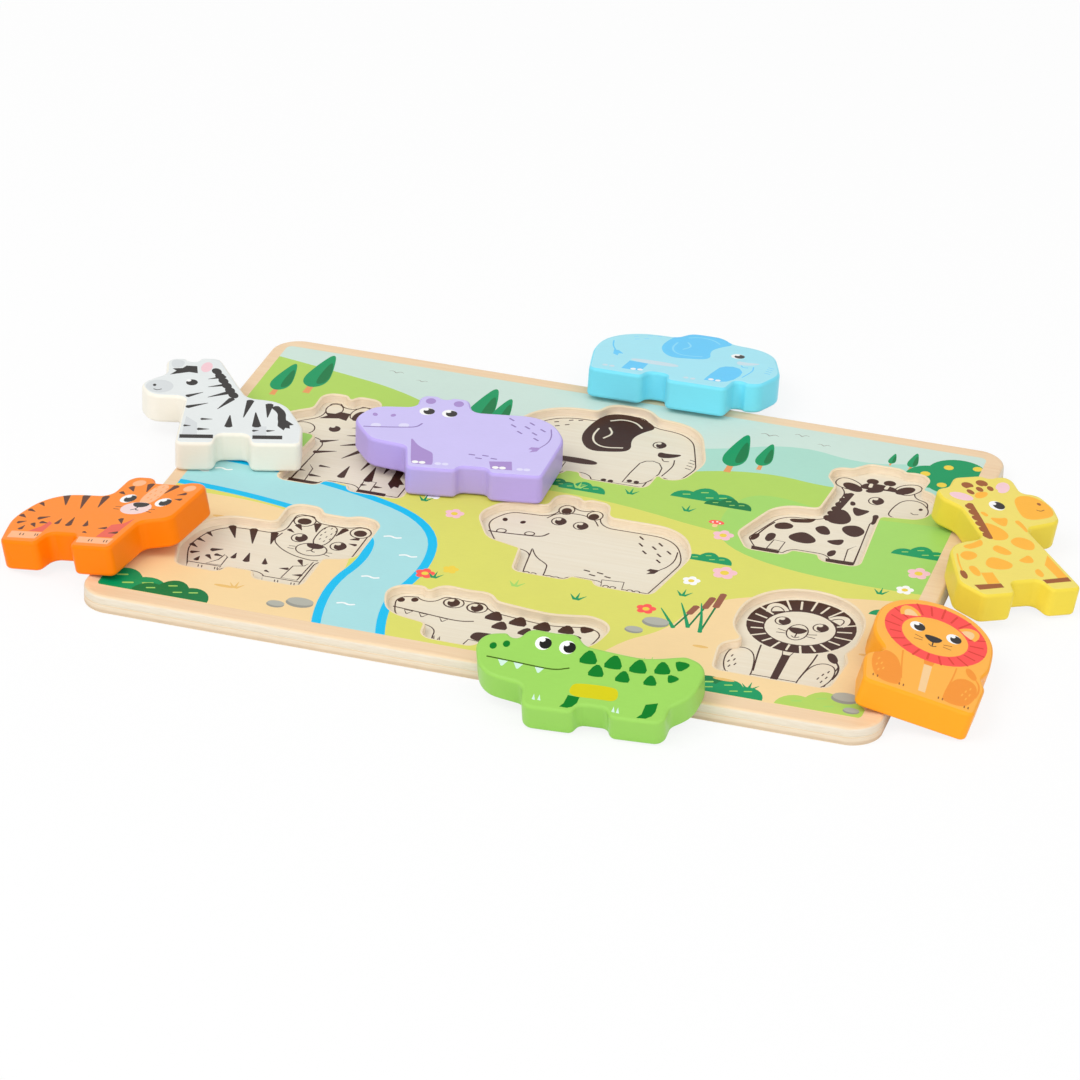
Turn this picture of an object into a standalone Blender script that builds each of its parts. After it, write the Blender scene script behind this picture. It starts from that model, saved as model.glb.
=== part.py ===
"""Chunky wooden tray puzzle: a board with seven animal recesses and seven thick loose blocks.

The board is two plywood sheets glued together: a plain base and a cut-out panel.
The blocks lie scattered: two flat on the board, five leaning over its edges on to the table.
Metres, +Z up, +X along the board, +Y to its back; the origin is the centre of its underside.
"""

import math

import bmesh
import bpy
from mathutils import Matrix, Vector
from mathutils.geometry import delaunay_2d_cdt

# Board.
BOARD_LENGTH = 0.300
BOARD_WIDTH = 0.225
BASE_THICKNESS = 0.0037
PANEL_THICKNESS = 0.0030
GLUE_GAP = 0.0003
BOARD_CORNER = 0.012
EDGE_RADIUS = 0.0015

# Recesses and blocks.
RIM_RADIUS = 0.0006
FIT_GAP = 0.0006
BLOCK_THICKNESS = 0.012
BLOCK_RADIUS = 0.0014
REST_GAP = 0.0003

# The animal outlines are drawn in this unit.
DRAWING_UNIT = 0.001

# Rounding: share of an edge that its two fillets may take, and of its radius that a
# fillet keeps where an inset eats it.
FILLET_SHARE = 0.98
LEAST_RADIUS_SHARE = 0.15
ARC_STEP = math.radians(16.0)
ROUND_STEPS = 2
RIM_STEPS = 1

BOARD_TOP = BASE_THICKNESS + GLUE_GAP + PANEL_THICKNESS

# Outline of each recess at the top of the panel, round its own centre, clockwise from above:
# corner x, corner y and corner radius.
ZEBRA = [
    (-23.0, 38.0, 5.4), (-13.4, 38.4, 3.6), (-11.2, 33.8, 1.4), (-9.0, 38.8, 3.6),
    (0.2, 38.6, 5.6), (11.6, 4.2, 6.0), (26.2, 2.0, 14.0), (33.8, -21.0, 12.0),
    (33.2, -37.2, 4.0), (12.0, -37.2, 4.0), (10.4, -32.4, 2.0), (1.2, -32.4, 2.0),
    (-0.4, -37.0, 4.0), (-17.4, -37.0, 4.0), (-14.4, 2.4, 2.5), (-28.0, 3.0, 8.0),
    (-33.0, 15.0, 7.0), (-27.0, 20.6, 9.0), (-22.6, 24.0, 4.0),
]
TIGER = [
    (-3.8, 30.8, 6.0), (8.6, 30.6, 5.6), (10.6, 26.3, 2.8), (20.4, 26.3, 4.0),
    (24.4, 28.6, 5.0), (34.0, 28.4, 6.5), (33.2, -3.4, 7.0), (22.0, -7.2, 2.5),
    (21.4, -30.0, 4.0), (2.0, -30.0, 4.0), (0.8, -24.6, 2.0), (-9.4, -24.6, 2.0),
    (-10.6, -29.6, 4.0), (-28.0, -29.4, 5.0), (-33.9, -10.2, 20.0), (-29.0, 13.5, 17.0),
    (-3.6, 14.0, 3.0),
]
HIPPO = [
    (-18.8, 33.2, 5.0), (-10.4, 32.6, 3.4), (-7.8, 30.0, 1.5), (-5.4, 32.0, 2.5),
    (2.2, 31.4, 4.5), (4.6, 21.0, 3.5), (34.4, 21.4, 17.0), (42.4, 2.0, 18.0),
    (36.0, -31.6, 4.0), (14.4, -31.6, 3.6), (12.8, -28.0, 1.7), (4.4, -27.8, 1.7),
    (2.8, -31.0, 3.5), (-17.8, -30.8, 4.0), (-20.0, -13.2, 2.0), (-34.0, -9.4, 9.0),
    (-43.2, 8.0, 11.0), (-35.4, 21.2, 11.0), (-19.6, 22.4, 3.0),
]
ELEPHANT = [
    (-38.6, 23.5, 22.0), (-11.0, 24.7, 3.0), (-7.0, 32.6, 7.0), (8.0, 33.0, 9.0),
    (13.4, 26.5, 6.0), (31.2, 25.0, 17.0), (40.6, -4.0, 16.0), (35.4, -21.6, 7.0),
    (28.4, -21.8, 2.4), (25.6, -18.6, 1.2), (24.4, -31.6, 4.0), (-1.6, -32.0, 4.0),
    (-3.0, -27.4, 2.0), (-8.4, -27.4, 2.0), (-10.0, -31.8, 4.0), (-33.4, -31.6, 4.5),
    (-38.4, -6.0, 24.0),
]
GIRAFFE = [
    (-11.8, 35.6, 5.0), (-4.6, 36.4, 4.0), (0.8, 42.6, 5.0), (13.0, 42.5, 4.0),
    (15.6, 40.0, 2.0), (18.4, 40.8, 3.0), (26.2, 40.8, 5.5), (24.6, 28.2, 1.5),
    (30.8, 26.5, 7.0), (32.6, 15.6, 8.0), (30.2, 4.6, 7.0), (14.0, 2.0, 2.5),
    (16.0, -39.8, 4.0), (1.0, -39.8, 4.0), (-0.8, -35.2, 2.0), (-10.8, -35.2, 2.0),
    (-12.6, -39.8, 4.0), (-27.4, -39.8, 4.5), (-33.8, -28.4, 7.0), (-24.8, -1.6, 13.0),
    (-9.0, 0.2, 3.0), (-7.6, 20.4, 4.0), (-12.0, 27.0, 5.0),
]
LION = [
    (-23.2, 35.2, 22.8), (23.2, 35.2, 22.8), (23.4, 0.6, 16.0), (21.2, -6.4, 3.0),
    (23.3, -12.2, 6.0), (21.4, -33.0, 4.0), (-21.6, -33.0, 4.0), (-24.0, -13.0, 8.0),
    (-16.6, -8.6, 2.5), (-23.4, 1.0, 18.0),
]
CROCODILE = [
    (-43.9, 14.2, 8.0), (-30.4, 16.8, 3.2), (-27.6, 13.8, 1.5), (-23.8, 20.3, 6.0),
    (-14.0, 19.4, 8.0), (-5.2, 20.2, 6.0), (-2.0, 14.9, 5.0), (19.6, 12.2, 24.0),
    (33.6, 16.0, 7.0), (43.8, 12.4, 8.0), (40.6, -5.0, 14.0), (33.4, -10.6, 3.0),
    (32.4, -19.6, 5.5), (11.4, -19.6, 4.0), (9.8, -15.4, 2.0), (1.2, -15.4, 2.0),
    (-0.4, -19.6, 4.0), (-20.6, -19.4, 5.5), (-21.6, -9.0, 2.5), (-38.0, -6.0, 12.0),
]

# The belly arch of a block is cut higher than the tongue of its recess: its two corners
# in the outline, and how much higher in drawing units.
BELLY_ARCH = {
    "zebra": (10, 11, 3.5),
    "tiger": (10, 11, 4.0),
    "hippo": (10, 11, 0.5),
    "elephant": (12, 13, 2.5),
    "giraffe": (14, 15, 3.0),
}

# Where each recess lies, as a share of the board's length and width from its centre.
RECESS_SHARE = {
    "zebra": (-0.3133, 0.1467),
    "tiger": (-0.3167, -0.2267),
    "hippo": (0.0433, -0.0533),
    "elephant": (0.0, 0.3022),
    "giraffe": (0.3333, 0.1911),
    "lion": (0.3517, -0.2444),
    "crocodile": (-0.0033, -0.3644),
}

# How far each block is turned against its recess, in degrees.
TURN_ANGLE = {
    "zebra": 18.5,
    "tiger": -7.7,
    "hippo": 11.6,
    "elephant": 0.5,
    "giraffe": 39.9,
    "lion": 5.7,
    "crocodile": 5.5,
}

# Blocks that lie flat on the board: their place as a share of its length and width.
LYING_SHARE = {
    "zebra": (-0.4833, 0.1200),
    "hippo": (-0.1653, 0.1413),
}

# Blocks that lean over an edge of the board: that edge, and the place along it as a share
# of its length from its middle.
LEANING_SHARE = {
    "tiger": ("left", -0.3129),
    "elephant": ("back", 0.0473),
    "giraffe": ("right", 0.1218),
    "lion": ("right", -0.2973),
    "crocodile": ("front", 0.1553),
}

# How far the centre of a leaning block is beyond its edge.
OVERHANG = {
    "tiger": 0.0042,
    "elephant": 0.0178,
    "giraffe": 0.0119,
    "lion": 0.0056,
    "crocodile": 0.0078,
}

# Heading of the fold between table and board, in degrees, where it isn't along the edge.
FOLD_ANGLE = {"crocodile": 5.5}

OUTLINES = {
    "zebra": ZEBRA,
    "tiger": TIGER,
    "hippo": HIPPO,
    "elephant": ELEPHANT,
    "giraffe": GIRAFFE,
    "lion": LION,
    "crocodile": CROCODILE,
}

# Colour and roughness of each piece.
PAINTS = {
    "base_panel": ((0.80, 0.69, 0.52), 0.65),
    "cutout_panel": ((0.62, 0.72, 0.22), 0.45),
    "zebra": ((0.86, 0.87, 0.86), 0.35),
    "tiger": ((0.95, 0.27, 0.03), 0.35),
    "hippo": ((0.56, 0.46, 0.86), 0.35),
    "elephant": ((0.30, 0.76, 0.86), 0.35),
    "giraffe": ((0.83, 0.66, 0.09), 0.35),
    "lion": ((0.95, 0.42, 0.05), 0.35),
    "crocodile": ((0.36, 0.68, 0.14), 0.35),
}


def rounded_outline(corners, inset):
    """Points of a closed outline with round corners, moved inwards by inset.

    Corners run clockwise. A radius is limited by the two edges that it rounds into.
    The number of points doesn't depend on inset, so that outlines of different
    insets can be joined point by point.
    """
    count = len(corners)
    points = [Vector((x, y)) for x, y, _ in corners]
    edges = [points[(i + 1) % count] - points[i] for i in range(count)]
    ahead = [edge.normalized() for edge in edges]
    inward = [Vector((d.y, -d.x)) for d in ahead]
    turns = []
    for i in range(count):
        cross = ahead[i - 1].x * ahead[i].y - ahead[i - 1].y * ahead[i].x
        turns.append(math.atan2(cross, ahead[i - 1].dot(ahead[i])))
    reach = [corners[i][2] * math.tan(abs(turns[i]) / 2.0) for i in range(count)]
    room = [edges[i].length / (reach[i] + reach[(i + 1) % count]) for i in range(count)]
    ring = []
    for i in range(count):
        before, after = ahead[i - 1], ahead[i]
        turn = turns[i]
        convex = turn < 0.0
        half = abs(turn) / 2.0
        drawn = corners[i][2] * min(1.0, FILLET_SHARE * room[i - 1], FILLET_SHARE * room[i])
        radius = drawn - inset if convex else drawn + inset
        radius = max(radius, LEAST_RADIUS_SHARE * drawn)
        vertex = points[i] + (inward[i - 1] + inward[i]) * (inset / (1.0 + before.dot(after)))
        to_centre = (inward[i - 1] + inward[i]).normalized()
        if not convex:
            to_centre = -to_centre
        centre = vertex + to_centre * (radius / math.cos(half))
        start = vertex - before * (radius * math.tan(half)) - centre
        steps = max(1, math.ceil(abs(turn) / ARC_STEP))
        for k in range(steps + 1):
            swing = Matrix.Rotation(turn * k / steps, 2)
            ring.append(centre + swing @ start)
    return ring


def scaled(corners):
    """Corners of a drawing in metres."""
    return [(x * DRAWING_UNIT, y * DRAWING_UNIT, r * DRAWING_UNIT) for x, y, r in corners]


def shifted(corners, place):
    """Corners moved to a place on the board."""
    return [(x + place.x, y + place.y, r) for x, y, r in corners]


def board_corners():
    """Rounded rectangle of the board, clockwise."""
    x, y, r = BOARD_LENGTH / 2.0, BOARD_WIDTH / 2.0, BOARD_CORNER
    return [(-x, y, r), (x, y, r), (x, -y, r), (-x, -y, r)]


def recess_place(name):
    """Centre of a recess on the board."""
    share_x, share_y = RECESS_SHARE[name]
    return Vector((share_x * BOARD_LENGTH, share_y * BOARD_WIDTH))


def add_ring(bm, corners, inset, z):
    """New loop of vertices along an outline at height z."""
    return [bm.verts.new((p.x, p.y, z)) for p in rounded_outline(corners, inset)]


def join_rings(bm, rings):
    """Bands of faces between rings that follow one another."""
    for lower, upper in zip(rings, rings[1:]):
        for i in range(len(lower)):
            bm.faces.new((lower[i - 1], lower[i], upper[i], upper[i - 1]))


def cap(bm, rings):
    """Flat faces over the first ring, with the other rings as holes."""
    verts = [v for ring in rings for v in ring]
    flat = [v.co.xy / DRAWING_UNIT for v in verts]
    loops = []
    for ring in rings:
        first = sum(len(loop) for loop in loops)
        loops.append(list(reversed(range(first, first + len(ring)))))
    _, _, triangles, _, _, inside = delaunay_2d_cdt(flat, [], loops, 1, 1e-6)
    for corners, loops_round in zip(triangles, inside):
        if loops_round == [0]:
            bm.faces.new([verts[i] for i in corners])


def quarter_round(radius, count=ROUND_STEPS):
    """Inset and drop of a rounded edge, from its flat top to its side."""
    steps = []
    for k in range(count + 1):
        angle = math.pi / 2.0 * k / count
        steps.append((radius * (1.0 - math.sin(angle)), radius * (1.0 - math.cos(angle))))
    return steps


def make_object(bm, name):
    """Object of a finished mesh, with its paint."""
    bmesh.ops.recalc_face_normals(bm, faces=bm.faces)
    mesh = bpy.data.meshes.new(name)
    bm.to_mesh(mesh)
    bm.free()
    mesh.shade_smooth()
    mesh.set_sharp_from_angle(angle=math.radians(35.0))
    colour, roughness = PAINTS[name.replace("_block", "")]
    paint = bpy.data.materials.new(name + "_paint")
    paint.use_nodes = True
    shader = paint.node_tree.nodes["Principled BSDF"]
    shader.inputs["Base Color"].default_value = (*colour, 1.0)
    shader.inputs["Roughness"].default_value = roughness
    shader.inputs["Metallic"].default_value = 0.0
    mesh.materials.append(paint)
    thing = bpy.data.objects.new(name, mesh)
    bpy.context.scene.collection.objects.link(thing)
    return thing


def make_base():
    """Plain lower sheet of the board."""
    bm = bmesh.new()
    rings = [
        add_ring(bm, board_corners(), 0.0, 0.0),
        add_ring(bm, board_corners(), 0.0, BASE_THICKNESS),
    ]
    join_rings(bm, rings)
    cap(bm, rings[:1])
    cap(bm, rings[1:])
    return make_object(bm, "base_panel")


def make_panel():
    """Upper sheet of the board, with a rounded top edge and the seven openings."""
    bm = bmesh.new()
    outer = [add_ring(bm, board_corners(), 0.0, 0.0)]
    for inset, drop in reversed(quarter_round(EDGE_RADIUS)):
        outer.append(add_ring(bm, board_corners(), inset, PANEL_THICKNESS - drop))
    join_rings(bm, outer)
    lower, upper = [outer[0]], [outer[-1]]
    for name, drawing in OUTLINES.items():
        corners = shifted(scaled(drawing), recess_place(name))
        wall = [add_ring(bm, corners, RIM_RADIUS, 0.0)]
        for inset, drop in reversed(quarter_round(RIM_RADIUS, RIM_STEPS)):
            wall.append(add_ring(bm, corners, RIM_RADIUS - inset, PANEL_THICKNESS - drop))
        join_rings(bm, wall)
        lower.append(wall[0])
        upper.append(wall[-1])
    cap(bm, lower)
    cap(bm, upper)
    panel = make_object(bm, "cutout_panel")
    panel.location.z = BASE_THICKNESS + GLUE_GAP
    return panel


def block_drawing(name):
    """Outline of a recess with the belly arch raised for its block."""
    corners = list(OUTLINES[name])
    if name in BELLY_ARCH:
        *arch, rise = BELLY_ARCH[name]
        for i in arch:
            x, y, radius = corners[i]
            corners[i] = (x, y + rise, radius)
    return corners


def make_block(name):
    """Thick animal block, rounded above and below, with its origin under its centre."""
    bm = bmesh.new()
    corners = scaled(block_drawing(name))
    fit = RIM_RADIUS + FIT_GAP
    rings = []
    for inset, drop in quarter_round(BLOCK_RADIUS):
        rings.append(add_ring(bm, corners, fit + inset, drop))
    for inset, drop in reversed(quarter_round(BLOCK_RADIUS)):
        rings.append(add_ring(bm, corners, fit + inset, BLOCK_THICKNESS - drop))
    join_rings(bm, rings)
    cap(bm, rings[:1])
    cap(bm, rings[-1:])
    return make_object(bm, name + "_block")


def lay_flat(block, name):
    """Rest a block on the board."""
    share_x, share_y = LYING_SHARE[name]
    block.location = (share_x * BOARD_LENGTH, share_y * BOARD_WIDTH, BOARD_TOP + REST_GAP)
    block.rotation_euler = (0.0, 0.0, math.radians(TURN_ANGLE[name]))


def edge_frame(edge):
    """Middle of a board edge, the direction out over it, the one along it, and its length."""
    out = {"left": (-1, 0), "right": (1, 0), "front": (0, -1), "back": (0, 1)}[edge]
    out = Vector((out[0], out[1], 0.0))
    along = Vector((abs(out.y), abs(out.x), 0.0))
    across, length = BOARD_LENGTH, BOARD_WIDTH
    if along.x > 0.5:
        across, length = BOARD_WIDTH, BOARD_LENGTH
    return out * across / 2.0, out, along, length


def lean(block, name):
    """Lean a block over an edge of the board, its low side on the table.

    The slope is the least one at which the underside clears the rounded top edge
    of the board while the lowest point of the block is on the table.
    """
    edge, share = LEANING_SHARE[name]
    middle, out, along, length = edge_frame(edge)
    fold = Matrix.Rotation(math.radians(FOLD_ANGLE.get(name, 0.0)), 3, "Z") @ along
    if fold.cross(out).z > 0.0:
        fold = -fold
    centre = middle + out * OVERHANG[name] + along * (share * length)
    spin = Matrix.Rotation(math.radians(TURN_ANGLE[name]), 4, "Z")
    points = [v.co.copy() for v in block.data.vertices]
    roll_line = middle - out * EDGE_RADIUS + Vector((0.0, 0.0, BOARD_TOP - EDGE_RADIUS))

    def place_at(slope):
        tilt = Matrix.Rotation(slope, 4, fold) @ spin
        low = min((tilt @ p).z for p in points)
        return Matrix.Translation((centre.x, centre.y, REST_GAP - low)) @ tilt

    def clearance(slope):
        pose = place_at(slope)
        normal = (pose.to_3x3() @ Vector((0.0, 0.0, 1.0))).normalized()
        over = [pose @ p for p in points]
        spread = [(q - middle).dot(along) for q in over if (q - middle).dot(out) < EDGE_RADIUS]
        ends = [roll_line + along * min(spread), roll_line + along * max(spread)]
        return min(normal.dot(pose.translation - e) for e in ends) - EDGE_RADIUS

    least, most = 0.0, math.radians(60.0)
    for _ in range(40):
        half = (least + most) / 2.0
        if clearance(half) < REST_GAP:
            least = half
        else:
            most = half
    block.matrix_world = place_at(most)


for old in list(bpy.data.objects):
    bpy.data.objects.remove(old, do_unlink=True)

make_base()
make_panel()
for animal in OUTLINES:
    piece = make_block(animal)
    if animal in LYING_SHARE:
        lay_flat(piece, animal)
    else:
        lean(piece, animal)
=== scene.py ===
"""Looks of a chunky wooden animal puzzle, on the frame of its CAD model.

The board and the seven blocks are drawn anew along the outlines of the CAD nodes, with finer
rounded edges and with their prints cut into the top faces. Drawings are in millimetres.
"""

import math

import bmesh
import bpy
import numpy as np
from mathutils import Matrix, Vector
from mathutils.geometry import delaunay_2d_cdt, intersect_point_line
from mathutils.kdtree import KDTree


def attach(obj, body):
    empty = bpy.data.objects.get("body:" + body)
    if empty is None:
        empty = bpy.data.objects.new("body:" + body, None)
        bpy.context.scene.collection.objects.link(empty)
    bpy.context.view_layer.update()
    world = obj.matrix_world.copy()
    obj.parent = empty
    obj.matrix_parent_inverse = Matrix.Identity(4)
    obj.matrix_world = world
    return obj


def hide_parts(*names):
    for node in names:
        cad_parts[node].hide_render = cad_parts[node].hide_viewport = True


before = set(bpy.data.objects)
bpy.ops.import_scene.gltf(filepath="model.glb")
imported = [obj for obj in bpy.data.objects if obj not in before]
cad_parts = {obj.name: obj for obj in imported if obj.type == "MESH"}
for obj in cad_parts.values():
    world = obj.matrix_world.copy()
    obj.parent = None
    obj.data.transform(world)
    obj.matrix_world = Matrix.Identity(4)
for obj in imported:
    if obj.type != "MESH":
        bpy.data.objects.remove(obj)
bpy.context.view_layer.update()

MM = 0.001
UP = Vector((0.0, 0.0, 1.0))
WHITE = (1.0, 1.0, 1.0, 1.0)

# Camera, fitted to the corners of the board: degrees, metres, and the lens in millimetres.
CAMERA_YAW = -15.974
CAMERA_PITCH = 28.462
CAMERA_ROLL = -1.895
CAMERA_TARGET = (-0.005141, -0.004498, 0.0)
CAMERA_DISTANCE = 1.8144
CAMERA_LENS = 160.73
SENSOR_WIDTH = 36.0
FAR_CLIP = 50.0

# Lamps: power in watts, side in metres, and place.
LAMPS = {
    "key": (56.0, 2.4, (-1.5, -1.5, 3.0)),
    "front": (26.0, 2.2, (0.9, -3.2, 1.0)),
    "side": (22.0, 2.4, (2.0, -0.8, 2.6)),
}

# Surroundings: light of the world, side of the floor in metres, and share of white that it shows.
WORLD_STRENGTH = 0.53
FLOOR_SIZE = 8.0
FLOOR_GLOW = 0.85

# Rounded edges of the blocks, the printed sheet, its openings and the base sheet, in millimetres,
# and the steps of each.
BLOCK_RADIUS = 1.4
EDGE_RADIUS = 1.5
RIM_RADIUS = 0.6
BASE_RADIUS = 0.3
ROUND_STEPS = 6

# Bare rim of an opening, plain border of a block's print, gap between the sheets, and longest
# step along an outline, in millimetres.
RIM_WIDTH = 1.0
PRINT_INSET = 0.9
GLUE_LINE = 0.05
POINT_SPACING = 1.2

# Tolerances: doubled vertices in metres, joined points and points on an outline in millimetres, up
# part of the normal of a wall and of a top, and share of an inset to keep clear of other sides.
DOUBLED = 1e-6
JOINED = 1e-5
ON_OUTLINE = 1e-4
UPRIGHT = 0.01
FACING_UP = 0.5
CLEAR_SHARE = 0.98

# Line drawings on the recess floors: width of a line and place of the contour in millimetres,
# and stretch of the contour above and below its middle.
LINE_WIDTH = 0.5
CONTOUR_INSET = 2.6
CONTOUR_STRETCH = 1.05
CONTOUR_SQUASH = 0.9

# How far each block is turned against its recess, in degrees, as in the CAD model.
TURN_ANGLE = {
    "zebra": 18.5,
    "tiger": -7.7,
    "hippo": 11.6,
    "elephant": 0.5,
    "giraffe": 39.9,
    "lion": 5.7,
    "crocodile": 5.5,
}

# Where the middle of each outline lies in the drawing of its animal, in millimetres.
DRAWING_MIDDLE = {
    "zebra": (0.16, 0.0),
    "tiger": (-0.21, 0.05),
    "hippo": (-0.18, 0.0),
    "elephant": (0.04, -0.51),
    "giraffe": (0.75, 0.59),
    "lion": (0.0, 0.6),
    "crocodile": (-0.06, 0.02),
}

# Scale and shift of the line drawing on a recess floor, where it differs from the block's.
FLOOR_FIT = {
    "lion": (1.05, (-0.4, 1.0)),
    "crocodile": (1.04, (-0.9, 1.3)),
}

# Paint: sheen, and roughness and mottling of the sides of a block and of the prints.
PAINT_SPECULAR = 0.12
SIDE_ROUGHNESS = 0.30
SIDE_MOTTLE = 0.015
PRINT_ROUGHNESS = 0.38
PRINT_MOTTLE = 0.025

# Colours of paints and inks, in 8-bit sRGB.
INKS = {
    "white": (250, 250, 248),
    "charcoal": (50, 46, 44),
    "black": (24, 22, 20),
    "pink": (246, 205, 212),
    "zebra_side": (245, 241, 228),
    "zebra_top": (230, 234, 233),
    "zebra_grey": (216, 220, 221),
    "tiger_side": (255, 130, 4),
    "tiger_top": (255, 142, 46),
    "tiger_pale": (255, 186, 138),
    "tiger_muzzle": (244, 215, 212),
    "tiger_red": (236, 102, 82),
    "tiger_dark": (96, 56, 40),
    "hippo_side": (191, 172, 240),
    "hippo_top": (206, 196, 244),
    "hippo_purple": (170, 143, 205),
    "hippo_line": (144, 124, 184),
    "hippo_tooth": (226, 222, 250),
    "elephant_side": (124, 226, 248),
    "elephant_top": (166, 232, 246),
    "elephant_blue": (98, 205, 252),
    "elephant_fold": (138, 220, 255),
    "elephant_pale": (205, 228, 238),
    "giraffe_side": (240, 217, 76),
    "giraffe_top": (240, 221, 110),
    "giraffe_orange": (255, 184, 64),
    "giraffe_brown": (158, 92, 48),
    "lion_side": (255, 168, 38),
    "lion_top": (255, 181, 76),
    "lion_dark": (246, 150, 52),
    "lion_tan": (248, 207, 152),
    "lion_mane": (255, 84, 80),
    "lion_mane_dark": (226, 66, 56),
    "crocodile_side": (155, 209, 96),
    "crocodile_top": (154, 208, 94),
    "crocodile_green": (0, 120, 34),
    "crocodile_line": (62, 92, 12),
    "crocodile_pale": (208, 236, 220),
    "crocodile_belly": (208, 199, 22),
    "sky": (206, 227, 216),
    "far_hill": (172, 220, 203),
    "hill": (178, 213, 96),
    "meadow": (220, 219, 104),
    "grass": (164, 214, 104),
    "bush": (0, 150, 92),
    "bush_dark": (0, 118, 62),
    "sand": (245, 214, 160),
    "sand_dark": (234, 190, 112),
    "water": (168, 221, 224),
    "water_edge": (0, 190, 238),
    "bark": (232, 156, 94),
    "bark_dark": (150, 90, 66),
    "petal_red": (255, 92, 84),
    "petal_pink": (247, 196, 204),
    "petal_yellow": (240, 210, 72),
    "stone": (178, 178, 166),
    "stone_dark": (150, 150, 140),
    "line_brown": (66, 38, 30),
}

# Bare birch: name of the material, pale and dark grain in 8-bit sRGB, and roughness.
WOODS = {
    "wood": ("birch_face", (241, 213, 177), (234, 199, 157), 0.50),
    "rim": ("birch_rim", (239, 221, 190), (234, 211, 175), 0.55),
    "floor": ("birch_floor", (235, 226, 206), (228, 216, 192), 0.60),
    "underside": ("birch_underside", (240, 222, 190), (226, 202, 164), 0.66),
}

# Cut edges of plywood: depth under the top in millimetres, and colour there in 8-bit sRGB.
PLIES = {
    "sheet_edge": ((0.0, (236, 206, 166)), (0.5, (236, 214, 182)), (0.9, (230, 220, 202)),
                   (3.3, (228, 218, 198))),
    # The recess wall is painted paler than bare birch and lighter deeper down: painted light against the
    # shade inside the openings.
    "lightened_recess_wall": ((0.0, (247, 223, 188)), (0.9, (248, 230, 205)), (3.3, (248, 234, 212))),
    # The base edge darkens towards its lower end: its own veneer bands, and painted shade at the foot of the
    # board.
    "base_edge_and_shade": ((0.0, (228, 203, 166)), (0.6, (230, 207, 174)), (0.9, (232, 218, 195)),
                  (2.0, (228, 210, 183)), (2.6, (214, 192, 163)), (3.7, (206, 184, 156))),
}


def linear(colour):
    """Scene-linear value of an 8-bit sRGB colour."""
    shares = [c / 255.0 for c in colour]
    return [s / 12.92 if s <= 0.04045 else ((s + 0.055) / 1.055) ** 2.4 for s in shares]


# Drawing: every shape is a closed list of points, in millimetres.


def smooth(points, rounds, closed=True):
    """Corner cutting of a path, each round replacing a corner by two points."""
    path = [Vector(p) for p in points]
    for _ in range(rounds):
        ends = path[1:] + path[:1] if closed else path[1:]
        cut = [q for a, b in zip(path, ends) for q in (a.lerp(b, 0.25), a.lerp(b, 0.75))]
        path = cut if closed else [path[0], *cut, path[-1]]
    return path


def area(points):
    """Signed area of a closed path, positive when it runs counter-clockwise."""
    return sum(a.cross(b) for a, b in zip(points, points[1:] + points[:1])) / 2.0


def counter_clockwise(points):
    """The same path, running counter-clockwise."""
    return points if area(points) > 0.0 else points[::-1]


def arc(x, y, half_width, half_height, turn, angles):
    """Points of an ellipse at some angles, turned by degrees."""
    spin = Matrix.Rotation(math.radians(turn), 2)
    return [Vector((x, y)) + spin @ Vector((half_width * math.cos(a), half_height * math.sin(a)))
            for a in angles]


def oval(x, y, half_width, half_height, turn=0.0):
    """Ellipse with more points the larger it is, turned by degrees."""
    count = max(12, round(4.0 * max(half_width, half_height) ** 0.7 + 8.0))
    return arc(x, y, half_width, half_height, turn, [2.0 * math.pi * i / count for i in range(count)])


def dome(x, y, half_width, height, turn=0.0, steps=14):
    """Upper half of an ellipse, turned by degrees."""
    return arc(x, y, half_width, height, turn, [math.pi * i / steps for i in range(steps + 1)])


def patch(*corners):
    """Soft closed shape near its corners."""
    return counter_clockwise(smooth(corners, 3))


def facet(*corners):
    """Straight-sided closed shape."""
    return counter_clockwise([Vector(c) for c in corners])


def stroke(width, *points, end_share=1.0):
    """Line of a pen along a soft path, its far end narrowed to a share of its width."""
    path = smooth(points, 3, closed=False) if len(points) > 2 else [Vector(p) for p in points]
    count = len(path)
    left, right = [], []
    for i, p in enumerate(path):
        ahead = (path[min(i + 1, count - 1)] - path[max(i - 1, 0)]).normalized()
        side = Vector((-ahead.y, ahead.x))
        half = width / 2.0 * (1.0 + (end_share - 1.0) * i / (count - 1))
        left.append(p + side * half)
        right.append(p - side * half)
    # Two more points round off each end.
    first = (path[0] - path[1]).normalized() * width / 4.0
    last = (path[-1] - path[-2]).normalized() * width * end_share / 4.0
    nose = [left[-1].lerp(right[-1], 0.3) + last, left[-1].lerp(right[-1], 0.7) + last]
    tail = [right[0].lerp(left[0], 0.3) + first, right[0].lerp(left[0], 0.7) + first]
    return counter_clockwise(left + nose + right[::-1] + tail)


def wedge(width, base, tip):
    """Tapering stripe from its base to its tip."""
    return stroke(width, base, tip, end_share=0.12)


def scaled(x, y, width, height, *corners):
    """Corners of a figure drawn round 0, brought to its size and place."""
    return [(x + a * width, y + b * height) for a, b in corners]


def dashes(width, start, end, *places):
    """Short strokes alike, from a start to an end counted from each place."""
    return [stroke(width, *scaled(x, y, 1, 1, start, end)) for x, y in places]


def mane(x, y, run, rise, half_width, half_height, turn):
    """Row of six ovals from a place, along a run and a rise."""
    shares = [i / 5.0 for i in range(6)]
    return [oval(x + run * t, y + rise * t, half_width, half_height, turn) for t in shares]


# The drawing of an animal is a list of prints: ink on the block, how the shape shows on the floor
# of the recess, and the shape.


def solid(ink, *shapes):
    """Prints that the floor shows filled."""
    return [(ink, "solid", shape) for shape in shapes]


def outlined(ink, *shapes):
    """Prints that the floor shows as outlines."""
    return [(ink, "line", shape) for shape in shapes]


def cleared(ink, *shapes):
    """Prints that the floor leaves bare."""
    return [(ink, "bare", shape) for shape in shapes]


def block_only(ink, *shapes):
    """Prints that the floor doesn't show."""
    return [(ink, None, shape) for shape in shapes]


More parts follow.
